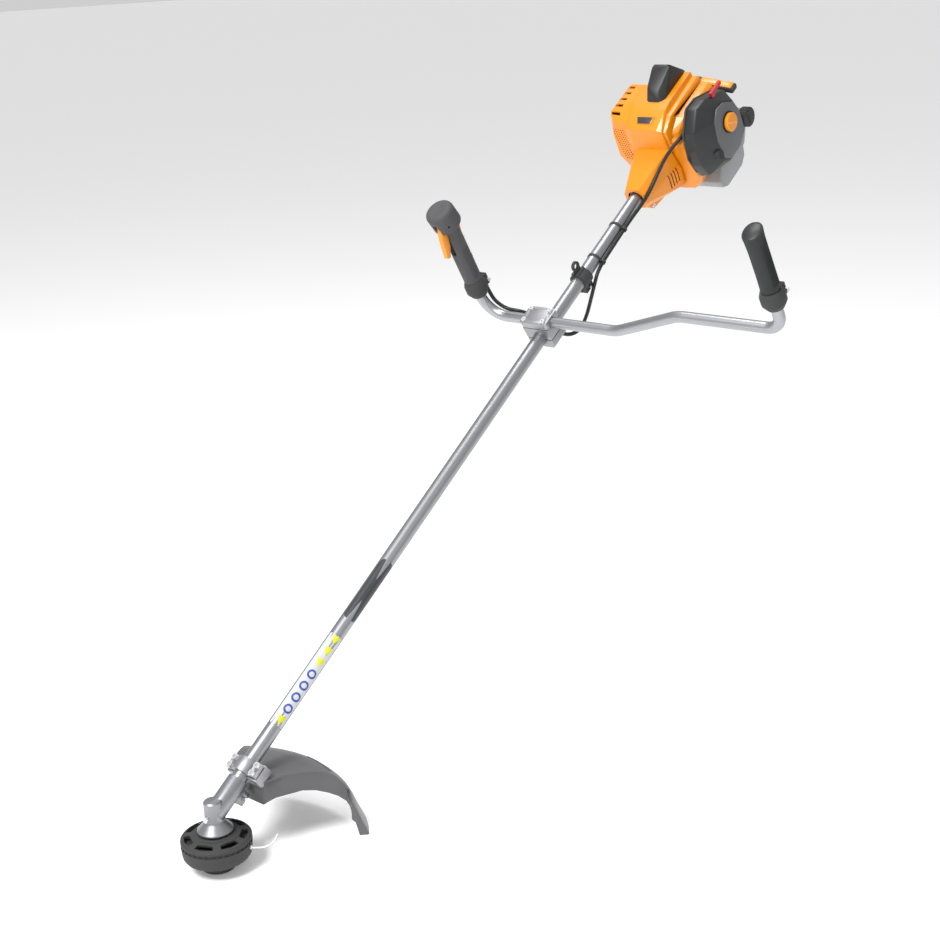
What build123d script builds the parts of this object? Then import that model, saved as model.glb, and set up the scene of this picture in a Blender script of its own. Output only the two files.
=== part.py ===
from build123d import *
import math
import os

# Petrol string trimmer with a straight tube, a bull-horn handlebar and a bump-feed line head.
# All sizes are in millimetres. Three local frames are used:
#   shaft frame: origin where the tube's axis crosses the head's axis, +X up the tube to the engine,
#                +Y to the operator's right, +Z square to the tube, upwards.
#   head frame:  the same origin, +Z straight up along the line head's axis.
#   bar frame:   origin on the handlebar's axis above the tube, +Z along the two grips.
# The part's own frame is the head frame moved so that its origin is the middle of the harness eye.

# ---- driving dimensions: layout ----
TUBE_ANGLE = 35.0          # tube above the horizontal, head level
TUBE_R = 13.0
TUBE_WALL = 1.5
TUBE_START = 34.0
TUBE_END = 1440.0
HARNESS_AT = 1190.0        # distances up the tube from the head's axis
EYE_HEIGHT = 31.0
BAR_AT = 1054.5
BAR_HEIGHT = 25.5
BAR_LEAN = 6.0             # grips lean this much towards the engine
TIES_AT = (1240.0, 1325.0)

# ---- gearbox and line head ----
DRIVE_SHAFT_R = 4.0
BEARING_R = 11.0
FLANGE_R = 28.5
FLANGE_Z = -26.0
BARREL_R = 15.0
BARREL_TOP = 25.0
SLEEVE_R = 17.0
SLEEVE_END = 66.0
PINION_HALF_ANGLE = 23.0
GEAR_HALF_ANGLE = 32.0
HEAD_R = 56.4
HEAD_WALL = 3.0
HEAD_TOP = -29.0
HEAD_SPLIT = -46.0
HEAD_BOTTOM = -71.0
KNOB_R = 30.0
KNOB_BOTTOM = -92.0
LINE_R = 1.2

# ---- guard ----
GUARD_R = 224.0
GUARD_WALL = 3.0
GUARD_HOOD = [(84, 34), (150, 31), (190, 23), (212, 9), (226, -8)]     # (radius, height) of its top face
GUARD_NEAR_EDGE = [(0, -34), (100, -34), (140, -54), (174, -77), (185, -107), (169, -132), (149, -154)]
GUARD_SKIRT = 52.0
GUARD_FROM = -46.0         # sector about the head's axis, degrees from +X
GUARD_SWEEP = 80.0

# ---- handlebar ----
BAR_R = 10.0
BAR_WALL = 1.5
LEFT_REACH = 522.0
RIGHT_REACH = 123.0
LEFT_RISE = 53.7
LEFT_BENDS = (172.0, 318.0)
GRIP_R = 17.0
COLLAR_FROM = 48.0
COLLAR_TO = 82.0
GRIP_TOP = 201.0
BAR_END = 190.0

COLLAR_SCREW_AT = (22.6, COLLAR_FROM + 18)   # from the grip's axis and above the bar's

# ---- cable ----
CABLE_R = 4.2
CABLE_PORT = (14.5, -9.5)  # from the right grip's axis
CABLE_END = 75.0

# ---- engine ----
NECK_AT = 1406.0
NECK_R = 22.0
FAN_R = 75.8
FAN_FROM = 1528.0
FAN_TO = 1560.0
SHROUD_WALL = 2.5
CRANK_R = 6.0
CYLINDER_AT = 1592.0
BORE_R = 16.0

EYE = Vector(HARNESS_AT, 0, EYE_HEIGHT).rotate(Axis.Y, -TUBE_ANGLE)
FROM_HEAD = Location(-EYE)
FROM_SHAFT = FROM_HEAD * Location((0, 0, 0), (0, -TUBE_ANGLE, 0))
FROM_BAR = FROM_SHAFT * Location((BAR_AT, 0, BAR_HEIGHT), (0, BAR_LEAN, 0))
UP = (Align.CENTER, Align.CENTER, Align.MIN)
MID = (Align.CENTER, Align.CENTER, Align.CENTER)

nodes = {}


def keep(name, frame, *solids):
    """Put solids built in a local frame into the part's frame and add them to a node."""
    for solid in solids:
        nodes.setdefault(name, []).extend(frame * piece for piece in Compound([solid]).solids())


def rod(radius, start, end, at=(0, 0)):
    """A round bar along X between two places, its axis through (y, z)."""
    return Location((start, at[0], at[1]), (0, 90, 0)) * Cylinder(radius, end - start, align=UP)


def ring(outer, inner, start, end, at=(0, 0)):
    """A round sleeve along X."""
    return rod(outer, start, end, at) - rod(inner, start - 1, end + 1, at)


def post(radius, low, high, at=(0, 0)):
    """A round bar along Z between two heights, its axis through (x, y)."""
    return Location((at[0], at[1], low)) * Cylinder(radius, high - low, align=UP)


def cross_rod(radius, start, end, at=(0, 0)):
    """A round bar along Y between two places, its axis through (x, z)."""
    return Location((at[0], start, at[1]), (-90, 0, 0)) * Cylinder(radius, end - start, align=UP)


def block(low, high):
    """A box between two corners."""
    size = [b - a for a, b in zip(low, high)]
    middle = [(a + b) / 2 for a, b in zip(low, high)]
    return Location(middle) * Box(*size)


def turned(points, frame=Location()):
    """A body of revolution about Z from its (radius, height) outline."""
    return frame * revolve(make_face(Plane.XZ * Polyline(*points, close=True)), Axis.Z)


def turned_on_shaft(points):
    """A body of revolution about the shaft axis from its (radius, distance) outline."""
    return turned(points, Location((0, 0, 0), (0, 90, 0)))


def side_face(points):
    """The face of an (x, z) outline at y = 0, its normal towards -Y whichever way the outline runs."""
    doubled_area = sum(a[0] * b[1] - b[0] * a[1] for a, b in zip(points, points[1:] + points[:1]))
    ordered = points if doubled_area > 0 else points[::-1]
    return make_face(Plane.XZ * Polyline(*ordered, close=True))


def outline_slab(points, low, high, corner):
    """A slab between two Y places with a rounded (x, z) outline."""
    slab = Pos(0, high, 0) * extrude(side_face(points), high - low)
    return fillet(slab.edges().filter_by(Axis.Y), corner)


def socket_screw(radius, length, head_r, head_h):
    """A cap screw along Z, the underside of its head at z = 0."""
    shank = post(radius, -length, 0)
    return shank + (post(head_r, 0, head_h) - post(head_r * 0.5, head_h * 0.45, head_h + 1))


# ---------------------------------------------------------------- drive line
def make_tube():
    """Main tube, its plain bushes and the drive shaft inside."""
    keep("drive_tube", FROM_SHAFT, ring(TUBE_R, TUBE_R - TUBE_WALL, TUBE_START, TUBE_END))
    bushes = []
    for index in range(5):
        middle = 190 + index * 265
        bush = ring(TUBE_R - TUBE_WALL, DRIVE_SHAFT_R + 0.05, middle - 14, middle + 14)
        bushes.append(bush - ring(TUBE_R, TUBE_R - TUBE_WALL - 1.5, middle - 8, middle + 8))
    keep("shaft_bearings", FROM_SHAFT, *bushes)
    shaft = rod(DRIVE_SHAFT_R, 14, 1452) + rod(5.0, 20.5, 32.5)
    keep("drive_shaft", FROM_SHAFT, shaft)
    near = 13.0
    far = 20.5
    slope = math.tan(math.radians(PINION_HALF_ANGLE))
    pinion = turned_on_shaft([(0, near), (near * slope - 0.1, near), (far * slope - 0.1, far), (0, far)])
    keep("bevel_pinion", FROM_SHAFT, pinion - rod(5.0, 20.5, 33) - rod(DRIVE_SHAFT_R, 14, 33))


def make_gearbox():
    """Cast gearbox with its bearings, bevel gear, output spindle and drive flange."""
    tilt = Location((0, 0, 0), (0, -TUBE_ANGLE, 0))
    barrel = turned([(0, FLANGE_Z), (FLANGE_R, FLANGE_Z), (FLANGE_R, FLANGE_Z + 2.5), (17.0, -12.0),
                     (BARREL_R, -9.0), (BARREL_R, BARREL_TOP - 2.0), (BARREL_R - 2.0, BARREL_TOP),
                     (0, BARREL_TOP)])
    sleeve = tilt * (rod(SLEEVE_R, 0, SLEEVE_END) + block((38, -9, -33), (60, 9, -10)))
    gear_room = turned([(0, FLANGE_Z - 1), (BEARING_R, FLANGE_Z - 1), (BEARING_R, -13), (8, -9), (8, 4),
                        (12.4, 12), (12.4, 20.4), (0, 20.4)])
    shaft_room = tilt * (rod(9.4, 4, 21) + rod(BEARING_R, 21, TUBE_START) + rod(TUBE_R, TUBE_START, 80))
    slit = tilt * (block((36, -1, -40), (80, 1, 0)) + cross_rod(2.5, -20, 20, (49, -25)))
    housing = barrel + sleeve - gear_room - shaft_room - slit
    plug_axis = Location((-BARREL_R + 2, 0, -2), (0, -90, 0))
    housing -= plug_axis * Cylinder(3.0, 30, align=MID)
    keep("gearbox_housing", FROM_HEAD, housing)
    plug = plug_axis * (post(3.0, -1, 2) + post(5.0, 2.0, 5.5))
    keep("cross_screws", FROM_HEAD, plug)
    pinch = Location((49, 0, -25)) * (cross_rod(2.5, -15, 9) + cross_rod(4.5, 9, 14))
    keep("cross_screws", FROM_HEAD * tilt, pinch)
    spindle_bearing = post(BEARING_R, -24, -16) - post(DRIVE_SHAFT_R, -30, 0)
    pinion_bearing = tilt * ring(BEARING_R, 5.05, 23, 31)
    spindle_bearing -= post(DRIVE_SHAFT_R + 0.05, -30, 0)
    keep("shaft_bearings", FROM_HEAD, spindle_bearing, pinion_bearing)
    slope = math.tan(math.radians(GEAR_HALF_ANGLE))
    gear = turned([(0, 12.2), (12.2 * slope - 0.15, 12.2), (18.6 * slope - 0.15, 18.6), (0, 18.6)])
    keep("bevel_gear", FROM_HEAD, gear - post(DRIVE_SHAFT_R, 0, 30))
    keep("output_spindle", FROM_HEAD, post(DRIVE_SHAFT_R, -38, 19.6))
    flange = post(20, HEAD_TOP, FLANGE_Z - 0.6) - post(DRIVE_SHAFT_R, -60, 0)
    keep("output_spindle", FROM_HEAD, flange)


# ---------------------------------------------------------------- line head
def head_slot(angle, low, high, width):
    """A cutter for an opening through the head's side at an angle about its axis."""
    return Rotation(0, 0, angle) * block((HEAD_R - 9, -width / 2, low), (HEAD_R + 5, width / 2, high))


def make_line_head():
    """Two-part head shell, spool with its wound line, bump knob, spring, eyelets and line ends."""
    cover = turned([(0, HEAD_TOP), (31, HEAD_TOP), (40, HEAD_TOP - 3), (HEAD_R - 3, HEAD_TOP - 6),
                    (HEAD_R, HEAD_TOP - 9), (HEAD_R, HEAD_SPLIT), (HEAD_R - HEAD_WALL, HEAD_SPLIT),
                    (HEAD_R - HEAD_WALL, HEAD_TOP - 10), (38, HEAD_TOP - 6), (31, HEAD_TOP - 3), (0, HEAD_TOP - 3)])
    cover += post(9, -38, HEAD_TOP - 2)
    cover -= post(DRIVE_SHAFT_R, -60, 0)
    for index in range(6):
        cover -= head_slot(30 + index * 60, HEAD_TOP - 13.5, HEAD_TOP - 10, 26)
    keep("head_cover", FROM_HEAD, cover)
    base = turned([(HEAD_R, HEAD_SPLIT), (HEAD_R, -65), (HEAD_R - 5, HEAD_BOTTOM), (KNOB_R + 0.6, HEAD_BOTTOM),
                   (KNOB_R + 0.6, HEAD_BOTTOM + 3), (HEAD_R - 6, HEAD_BOTTOM + 3),
                   (HEAD_R - HEAD_WALL, -64), (HEAD_R - HEAD_WALL, HEAD_SPLIT)])
    eyelets = []
    for angle in (-62, 118):
        hole = Rotation(0, 0, angle) * rod(3.4, HEAD_R - 10, HEAD_R + 10, (0, -53))
        base -= hole
        eyelet = ring(3.4, LINE_R + 0.3, HEAD_R - 4, HEAD_R + 1.5, (0, -53))
        eyelets.append(Rotation(0, 0, angle) * eyelet)
    keep("head_base", FROM_HEAD, base)
    keep("line_eyelets", FROM_HEAD, *eyelets)
    spool = turned([(9.2, -43.5), (HEAD_R - 7, -43.5), (HEAD_R - 7, -45.5), (20, -45.5), (20, -60.5),
                    (HEAD_R - 8, -60.5), (HEAD_R - 8, -62.5), (16, -62.5), (16, -46.5), (9.2, -46.5)])
    keep("line_spool", FROM_HEAD, spool)
    winding = turned([(20, -45.5), (HEAD_R - 12, -45.5), (HEAD_R - 12, -60.5), (20, -60.5)])
    keep("line_spool", FROM_HEAD, winding)
    knob = turned([(0, -75), (10, -62.5), (KNOB_R, -62.5), (KNOB_R, -84), (KNOB_R - 5, KNOB_BOTTOM),
                   (0, KNOB_BOTTOM)])
    keep("bump_knob", FROM_HEAD, knob)
    keep("head_spring", FROM_HEAD, post(14.5, -43.4, HEAD_TOP - 3.1) - post(12.5, -70, 0))
    for name, route in LINE_ENDS.items():
        path = FilletPolyline(*route, radius=corner_radii(route))
        keep(name, FROM_HEAD, sweep_round(path, LINE_R))


def corner_radii(route):
    """The largest arcs that a route's corners take: 0.45 of the shorter run over tan(half the turn)."""
    points = [Vector(*point) for point in route]
    radii = []
    for before, corner, after in zip(points, points[1:], points[2:]):
        run_in = corner - before
        run_out = after - corner
        half_turn = math.radians(run_in.get_angle(run_out)) / 2
        radii.append(0.45 * min(run_in.length, run_out.length) / math.tan(half_turn))
    return radii


def sweep_round(path, radius, inner=0):
    """A round tube or bar swept along a path of straight runs and arcs."""
    start = Plane(origin=path @ 0, z_dir=path % 0)
    solid = sweep(start * Circle(radius), path=path)
    if inner:
        solid -= sweep(start * Circle(inner), path=path)
    return solid


def eyelet_point(angle, distance, height=-53.0):
    """A point outside the head, at an angle and a distance from its axis."""
    turn = math.radians(angle)
    return (distance * math.cos(turn), distance * math.sin(turn), height)


LINE_ENDS = {
    "line_end_left": [eyelet_point(-62, HEAD_R + 1.5), eyelet_point(-61, 68, -53.5), eyelet_point(-56, 80, -54.5),
                      eyelet_point(-46, 90, -54.0), eyelet_point(-35, 96, -52.0)],
    "line_end_right": [eyelet_point(118, HEAD_R + 1.5), eyelet_point(119, 66, -52.5), eyelet_point(125, 76, -52.0),
                       eyelet_point(136, 85, -54.0), eyelet_point(147, 90, -60.0)],
}


# ---------------------------------------------------------------- guard
def guard_sector(outline, start, sweep):
    """A sector of a body of revolution about the head's axis, from its (radius, height) outline."""
    return Rotation(0, 0, start) * revolve(make_face(Plane.XZ * Polyline(*outline, close=True)), Axis.Z, sweep)


def upright_slab(points, low, high):
    """A slab between two heights with an (x, y) outline."""
    return Pos(0, 0, low) * extrude(make_face(Plane.XY * Polyline(*points, close=True)), high - low, dir=(0, 0, 1))


def make_guard():
    """Debris guard, its flared skirt with the line cutter, and the bracket that holds it."""
    bottom = -GUARD_SKIRT
    under = [(radius - 1.5, height - GUARD_WALL) for radius, height in GUARD_HOOD[:-1]] + [(GUARD_R - 1, -8)]
    plate = guard_sector(GUARD_HOOD + under[::-1], GUARD_FROM, GUARD_SWEEP)
    plate -= upright_slab(GUARD_NEAR_EDGE + [(120, -190), (0, -190), (0, -34)], -30, 60)
    near_wall = [(x - 1.5, y - 2.6) for x, y in GUARD_NEAR_EDGE[1:5]]
    near_wall = upright_slab(GUARD_NEAR_EDGE[1:5] + near_wall[::-1], 0, 60)
    plate += near_wall & guard_sector(GUARD_HOOD + [(222, 0), (60, 0)], GUARD_FROM, GUARD_SWEEP)
    from_shaft = FROM_HEAD.inverse() * FROM_SHAFT
    plate -= from_shaft * block((60, -60, -20), (112, 60, 30))
    plate += from_shaft * block((74, -34, -26), (104, 34, -20))
    keep("guard", FROM_HEAD, plate)
    flare = [(GUARD_R - 3, -8), (GUARD_R + 2, -8), (GUARD_R + 17, bottom), (GUARD_R + 14, bottom), (GUARD_R - 1, -14), (GUARD_R - 6, -14)]
    skirt = guard_sector(flare, GUARD_FROM, GUARD_SWEEP)
    leg = side_face([(GUARD_R, -13), (GUARD_R + 3, -13), (GUARD_R + 15.5, bottom), (GUARD_R, bottom)])
    skirt += Rotation(0, 0, GUARD_FROM) * Pos(0, 3.2, 0) * extrude(leg, 3)
    turn = Rotation(0, 0, GUARD_FROM + GUARD_SWEEP)
    skirt += turn * Pos(0, -0.2, 0) * extrude(leg, 3)
    skirt += turn * block((GUARD_R - 22, -3.2, bottom), (GUARD_R + 3, -0.2, -14.2))
    blade = turn * block((GUARD_R - 36, -4.8, bottom + 1), (GUARD_R - 8, -3.2, bottom + 20))
    screws = []
    for height in (bottom + 5, bottom + 15):
        place = (GUARD_R - 14, height)
        hole = turn * cross_rod(2.45, -12, 3, place)
        skirt -= hole
        blade -= hole
        screws.append(turn * (cross_rod(2.4, -7.2, -0.2, place) + cross_rod(4.2, -7.8, -4.8, place)))
    keep("guard_skirt", FROM_HEAD, skirt)
    keep("line_cutter", FROM_HEAD, blade)
    keep("cap_screws", FROM_HEAD, *screws)


def make_guard_bracket():
    """Clamp bracket: a saddle under the tube, a cap over it and four screws."""
    near = 74.0
    far = 104.0
    bore = rod(TUBE_R, 60, 120)
    saddle = block((near, -34, -20), (far, 34, -1.0)) - bore
    cap = rod(18.5, near + 3, far - 3) - rod(TUBE_R, 60, 120)
    cap = cap - block((60, -40, -30), (120, 40, 1.0))
    ears = block((near + 3, -34, 1.0), (far - 3, 34, 6.0)) - bore
    cap += ears
    holes = [(near + 8, 26), (far - 8, 26), (near + 8, -26), (far - 8, -26)]
    for x, y in holes:
        saddle -= post(3.05, -40, 20, (x, y))
        cap -= post(3.05, -40, 20, (x, y))
    keep("guard_bracket", FROM_SHAFT, saddle)
    keep("guard_bracket", FROM_SHAFT, cap)
    keep("cap_screws", FROM_SHAFT, *[Pos(x, y, 6.0) * socket_screw(3.0, 22, 5.5, 5.5) for x, y in holes])


# ---------------------------------------------------------------- harness eye and ties
def make_harness_eye():
    """Clamp block round the tube, an upright eye plate on top and a cross screw."""
    start = HARNESS_AT - 12
    end = HARNESS_AT + 12
    bore = rod(TUBE_R, start - 5, end + 5)
    body = ring(18.0, TUBE_R, start, end) + (block((start, -9, -27), (end, 9, -12)) - bore)
    body += block((start, -8, 12), (end, 8, 20)) - bore
    body -= block((start - 5, -1, -40), (end + 5, 1, 0)) + cross_rod(2.55, -20, 20, (HARNESS_AT, -21))
    body -= block((start - 5, -2.5, 15), (end + 5, 2.5, 30))
    keep("harness_clamp", FROM_SHAFT, body)
    plate = block((HARNESS_AT - 8, -2.5, 15), (HARNESS_AT + 8, 2.5, EYE_HEIGHT))
    plate += cross_rod(9.5, -2.5, 2.5, (HARNESS_AT, EYE_HEIGHT))
    plate -= cross_rod(5.5, -5, 5, (HARNESS_AT, EYE_HEIGHT))
    keep("harness_clamp", FROM_SHAFT, plate)
    screw = cross_rod(2.5, -13, 9, (HARNESS_AT, -21)) + cross_rod(4.4, 9, 13.5, (HARNESS_AT, -21))
    keep("cross_screws", FROM_SHAFT, screw)
    ties = []
    for at in TIES_AT:
        side = cable_side(at)
        band = ring(TUBE_R + 1.4, TUBE_R, at - 2.4, at + 2.4)
        loop = ring(CABLE_R + 1.6, CABLE_R + 0.2, at - 2.4, at + 2.4, side)
        band = band - rod(CABLE_R + 0.2, at - 5, at + 5, side)
        ties.append(band + (loop - rod(TUBE_R, at - 5, at + 5)))
    keep("cable_ties", FROM_SHAFT, *ties)


def cable_side(at):
    """Where the cable's axis lies beside the tube at a distance up it, as (y, z), on its straight runs."""
    before, after = [(a, b) for a, b in zip(CABLE_ROUTE, CABLE_ROUTE[1:]) if b[0] <= at <= a[0]][0]
    share = (at - after[0]) / (before[0] - after[0])
    return tuple(after[i] + share * (before[i] - after[i]) for i in (1, 2))


# ---------------------------------------------------------------- handlebar
def make_handlebar():
    """Bent bar, its clamp in two castings with a cover plate, and four cover screws."""
    left = [(0, 0, 0), (0, -LEFT_BENDS[0], 0), (0, -LEFT_BENDS[1], LEFT_RISE), (0, -LEFT_REACH, LEFT_RISE),
            (0, -LEFT_REACH, LEFT_RISE + BAR_END)]
    right = [(0, RIGHT_REACH, BAR_END), (0, RIGHT_REACH, 0)]
    route = right + left[1:]
    path = FilletPolyline(*route, radius=[46, 70, 70, 30])
    keep("handlebar", FROM_BAR, sweep_round(path, BAR_R, BAR_R - BAR_WALL))
    near = BAR_AT - 21
    far = BAR_AT + 21
    tube_bore = rod(TUBE_R, near - 10, far + 10)
    bar_bore = cross_rod(BAR_R, -60, 60, (BAR_AT, BAR_HEIGHT))
    base = block((near, -28, -20), (far, 28, -0.8)) - tube_bore
    base = fillet(base.edges().filter_by(Axis.X).group_by(Axis.Z)[0], 7)
    middle = block((near, -28, 0.8), (far, 28, BAR_HEIGHT - 0.8)) - tube_bore - bar_bore
    cover = block((near, -30, BAR_HEIGHT + 0.8), (far, 30, BAR_HEIGHT + 14)) - bar_bore
    cover = fillet(cover.edges().filter_by(Axis.Z), 6)
    screws = []
    for x in (BAR_AT - 14.2, BAR_AT + 14.2):
        for y in (-21.5, 21.5):
            hole = post(2.55, -40, 60, (x, y))
            base -= hole
            middle -= hole
            cover -= hole
            screws.append(Pos(x, y, BAR_HEIGHT + 14) * socket_screw(2.5, 54, 4.6, 4.0))
    keep("bar_clamp_base", FROM_SHAFT, base)
    keep("bar_clamp_base", FROM_SHAFT, middle)
    keep("bar_clamp_cover", FROM_SHAFT, cover)
    keep("cap_screws", FROM_SHAFT, *screws)


def make_left_grip():
    """Rubber grip with its end cap, and the collar clamp below it."""
    at = (0, -LEFT_REACH)
    rise = LEFT_RISE
    grip = post(GRIP_R, rise + COLLAR_TO, rise + GRIP_TOP, at)
    grip -= post(BAR_R, 0, rise + BAR_END, at)
    grip = fillet(grip.edges().filter_by(GeomType.CIRCLE).group_by(Axis.Z)[-1], 3)
    keep("left_grip", FROM_BAR, grip)
    keep("grip_collars", FROM_BAR, Pos(at[0], at[1], rise) * grip_collar())
    screw = Pos(at[0], at[1], rise) * collar_screw()
    keep("cross_screws", FROM_BAR, screw)


def grip_collar():
    """A collar that clamps a grip's foot to the bar, with a boss for its screw, about the grip's axis."""
    outline = [(BAR_R, COLLAR_FROM), (BAR_R + 5, COLLAR_FROM), (GRIP_R + 4.5, COLLAR_FROM + 11),
               (GRIP_R + 4.5, COLLAR_TO - 9), (GRIP_R + 1, COLLAR_TO), (BAR_R, COLLAR_TO)]
    body = turned(outline) + block((8, -9, COLLAR_FROM + 8), (27, 9, COLLAR_TO - 4))
    body -= post(BAR_R, 0, 200) + block((0, -0.8, 0), (40, 0.8, 200))
    return body - cross_rod(2.05, -20, 20, COLLAR_SCREW_AT)


def collar_screw():
    """The collar's cross screw, in a frame on the grip's axis."""
    place = COLLAR_SCREW_AT
    shank = cross_rod(2.0, -15.5, 10.5, place)
    return shank + cross_rod(3.6, -15.5, -10.5, place) + cross_rod(3.6, 10.5, 12.5, place)


def make_throttle():
    """Throttle handle in two halves with its trigger, lock-out lever, stop switch and collar."""
    at = (0, RIGHT_REACH)
    low = COLLAR_TO
    body = post(GRIP_R, low, 214)
    bulb = Location((-3, 0, 226), (0, -12, 0)) * Cylinder(27, 44, align=MID)
    bulb = fillet(bulb.edges(), 9)
    body += bulb
    body -= post(BAR_R, 0, BAR_END)
    trigger_room = block((-40, -5.2, 150), (-9.5, 5.2, 226))
    lever_room = block((10.5, -4.7, 168), (40, 4.7, 216))
    switch_room = block((11.5, -4.2, 120), (30, 4.2, 136))
    body -= trigger_room + lever_room + switch_room
    body -= cross_rod(2.03, -30, 30, (-18, 218)) + cross_rod(2.03, -30, 30, (14.5, 172))
    halves = {"throttle_housing_inner": block((-80, -60, 0), (80, 0, 400)),
              "throttle_housing_outer": block((-80, 0, 0), (80, 60, 400))}
    for name, side in halves.items():
        keep(name, FROM_BAR, Pos(at[0], at[1], 0) * (body & side))
    trigger = side_face([(-14, 222), (-22, 224), (-31, 196), (-37, 160), (-30, 158), (-20, 176), (-12.5, 208)])
    trigger = Pos(0, 4.6, 0) * extrude(trigger, 9.2)
    trigger = trigger - cross_rod(2.08, -30, 30, (-18, 218))
    keep("throttle_trigger", FROM_BAR, Pos(at[0], at[1], 0) * trigger)
    pins = [cross_rod(2.0, -12, 12, (-18, 218)), cross_rod(2.0, -10, 10, (14.5, 172))]
    keep("cross_screws", FROM_BAR, *[Pos(at[0], at[1], 0) * pin for pin in pins])
    lever = side_face([(12, 169.5), (17, 169.5), (22.5, 196), (21.5, 214), (18, 214), (16.5, 190), (12, 178)])
    lever = Pos(0, 4.1, 0) * extrude(lever, 8.2)
    lever = lever - cross_rod(2.08, -30, 30, (14.5, 172))
    keep("lockout_lever", FROM_BAR, Pos(at[0], at[1], 0) * lever)
    switch = block((11.8, -3.6, 121), (19.8, 3.6, 129))
    keep("stop_switch", FROM_BAR, Pos(at[0], at[1], 0) * switch)
    collar = grip_collar() - post(CABLE_R, 0, CABLE_END, CABLE_PORT)
    keep("grip_collars", FROM_BAR, Pos(at[0], at[1], 0) * collar)
    keep("cross_screws", FROM_BAR, Pos(at[0], at[1], 0) * collar_screw())


def make_cable():
    """Throttle cable in its conduit, from the carburettor down the tube and up to the right grip."""
    radii = corner_radii(CABLE_ROUTE)
    path = FilletPolyline(*CABLE_ROUTE, radius=radii)
    solid = sweep_round(path, CABLE_R)
    print("cable radii", [round(radius) for radius in radii], "length", round(path.length),
          "volume ratio", round(solid.volume / (math.pi * CABLE_R ** 2 * path.length), 4))
    keep("throttle_cable", FROM_SHAFT, solid)


def bar_point(x, y, z):
    """A point given in the bar frame, as shaft frame numbers."""
    point = Vector(x, y, z).rotate(Axis.Y, BAR_LEAN) + Vector(BAR_AT, 0, BAR_HEIGHT)
    return (point.X, point.Y, point.Z)


CABLE_ROUTE = [
    (1558.5, -67, 56), (1538, -69, 60), (1514, -66, 60), (1491, -51, 49), (1468, -39, 34), (1443, -31, 18),
    (1414, -26.5, 6), (1388, -22.5, 1), (1352, -18.2, -1.0), (1298, -17.4, -3.0), (1222, -17.5, -5.0),
    (1198, -15.5, -22), (1178, -7, -46), (1157, -1, -67), (1130, 4, -79), (1104, 10, -67), (1091, 18, -42),
    (1085, 30, -15), bar_point(27, 44, -14), bar_point(18, 62, 1), bar_point(CABLE_PORT[0], 83.7, 4),
    bar_point(CABLE_PORT[0], 102.5, 14.7), bar_point(CABLE_PORT[0], RIGHT_REACH + CABLE_PORT[1], 33.3),
    bar_point(CABLE_PORT[0], RIGHT_REACH + CABLE_PORT[1], CABLE_END),
]


# ---------------------------------------------------------------- engine
def shroud_core(shrink):
    """The engine shroud's outer form, made smaller all round by a wall thickness."""
    d = shrink
    front = turned_on_shaft([(0, NECK_AT - 5 + 2 * d), (NECK_R - d, NECK_AT - 5 + 2 * d), (NECK_R - d, 1440), (60 - d, 1500),
                             (FAN_R - d, FAN_FROM), (FAN_R - d, FAN_TO), (0, FAN_TO)])
    front -= rod(200, NECK_AT - 30, NECK_AT + 2 * d - 0.01)
    top = outline_slab([(1545, -30), (1512, 40), (1530, 88), (1556, 104), (1640, 104), (1650, 90), (1650, -30)],
                       -62 + d, 64 - d, 8) if not d else outline_slab(
        [(1548, -28), (1515, 40), (1532, 86), (1558, 101.5), (1638, 101.5), (1670, 88), (1670, -28)],
        -62 + d, 64 - d, 6)
    side = outline_slab([(1540, -28), (1518, 10), (1518, 70), (1545, 104), (1606, 104), (1632, 60), (1632, -28)],
                        40, 112 - d, 12) if not d else outline_slab(
        [(1543, -25.5), (1520.5, 11), (1520.5, 69), (1546, 101.5), (1605, 101.5), (1629.5, 59), (1629.5, -25.5)],
        40, 112 - d, 10)
    return front + top + side


def make_engine_covers():
    """Shroud, spark-plug cover, starter housing and starter cap."""
    shroud = shroud_core(0) - shroud_core(SHROUD_WALL)
    shroud -= block((FAN_TO - 3, -200, -200), (1700, 200, -32))
    shroud -= rod(FAN_R - SHROUD_WALL, FAN_TO - 8, 1700) & block((1500, -58, -90), (1700, 60, 90))
    shroud -= block((1552, -80, 34), (1640, -50, 92))
    shroud -= rod(TUBE_R + 5, 1390, 1425)
    for index in range(6):
        low = 2 + index * 14
        shroud -= block((1500, 96, low), (1700, 130, low + 7)) & block((1534, 0, -90), (1618, 200, 200))
    shroud -= block((1580, -22, 90), (1640, 22, 120))
    shroud = max(shroud.solids(), key=lambda solid: solid.volume)
    keep("engine_shroud", FROM_SHAFT, shroud)
    cap_outline = [(1566, 98), (1574, 122), (1606, 138), (1656, 136), (1662, 122), (1644, 104)]
    cap = outline_slab(cap_outline, -21, 21, 5)
    cap -= outline_slab([(1572, 94), (1580, 120), (1608, 132), (1652, 131), (1655, 122), (1640, 94)], -17, 17, 3)
    cap -= block((1500, -60, 90), (1700, 60, 104.2))
    keep("spark_plug_cover", FROM_SHAFT, cap)
    starter = ring(58.5, 55.5, 1640, 1694) + rod(58, 1690, 1694) + ring(58.5, 44, 1640, 1643)
    starter += rod(6.95, 1666, 1691) + ring(34, 26, 1694, 1697)
    starter += block((1655, -46, 34), (1680, -30, 51)) - rod(55.5, 1600, 1700)
    starter -= post(3.0, 30, 90, (1667, -38))
    keep("starter_housing", FROM_SHAFT, starter)


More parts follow.
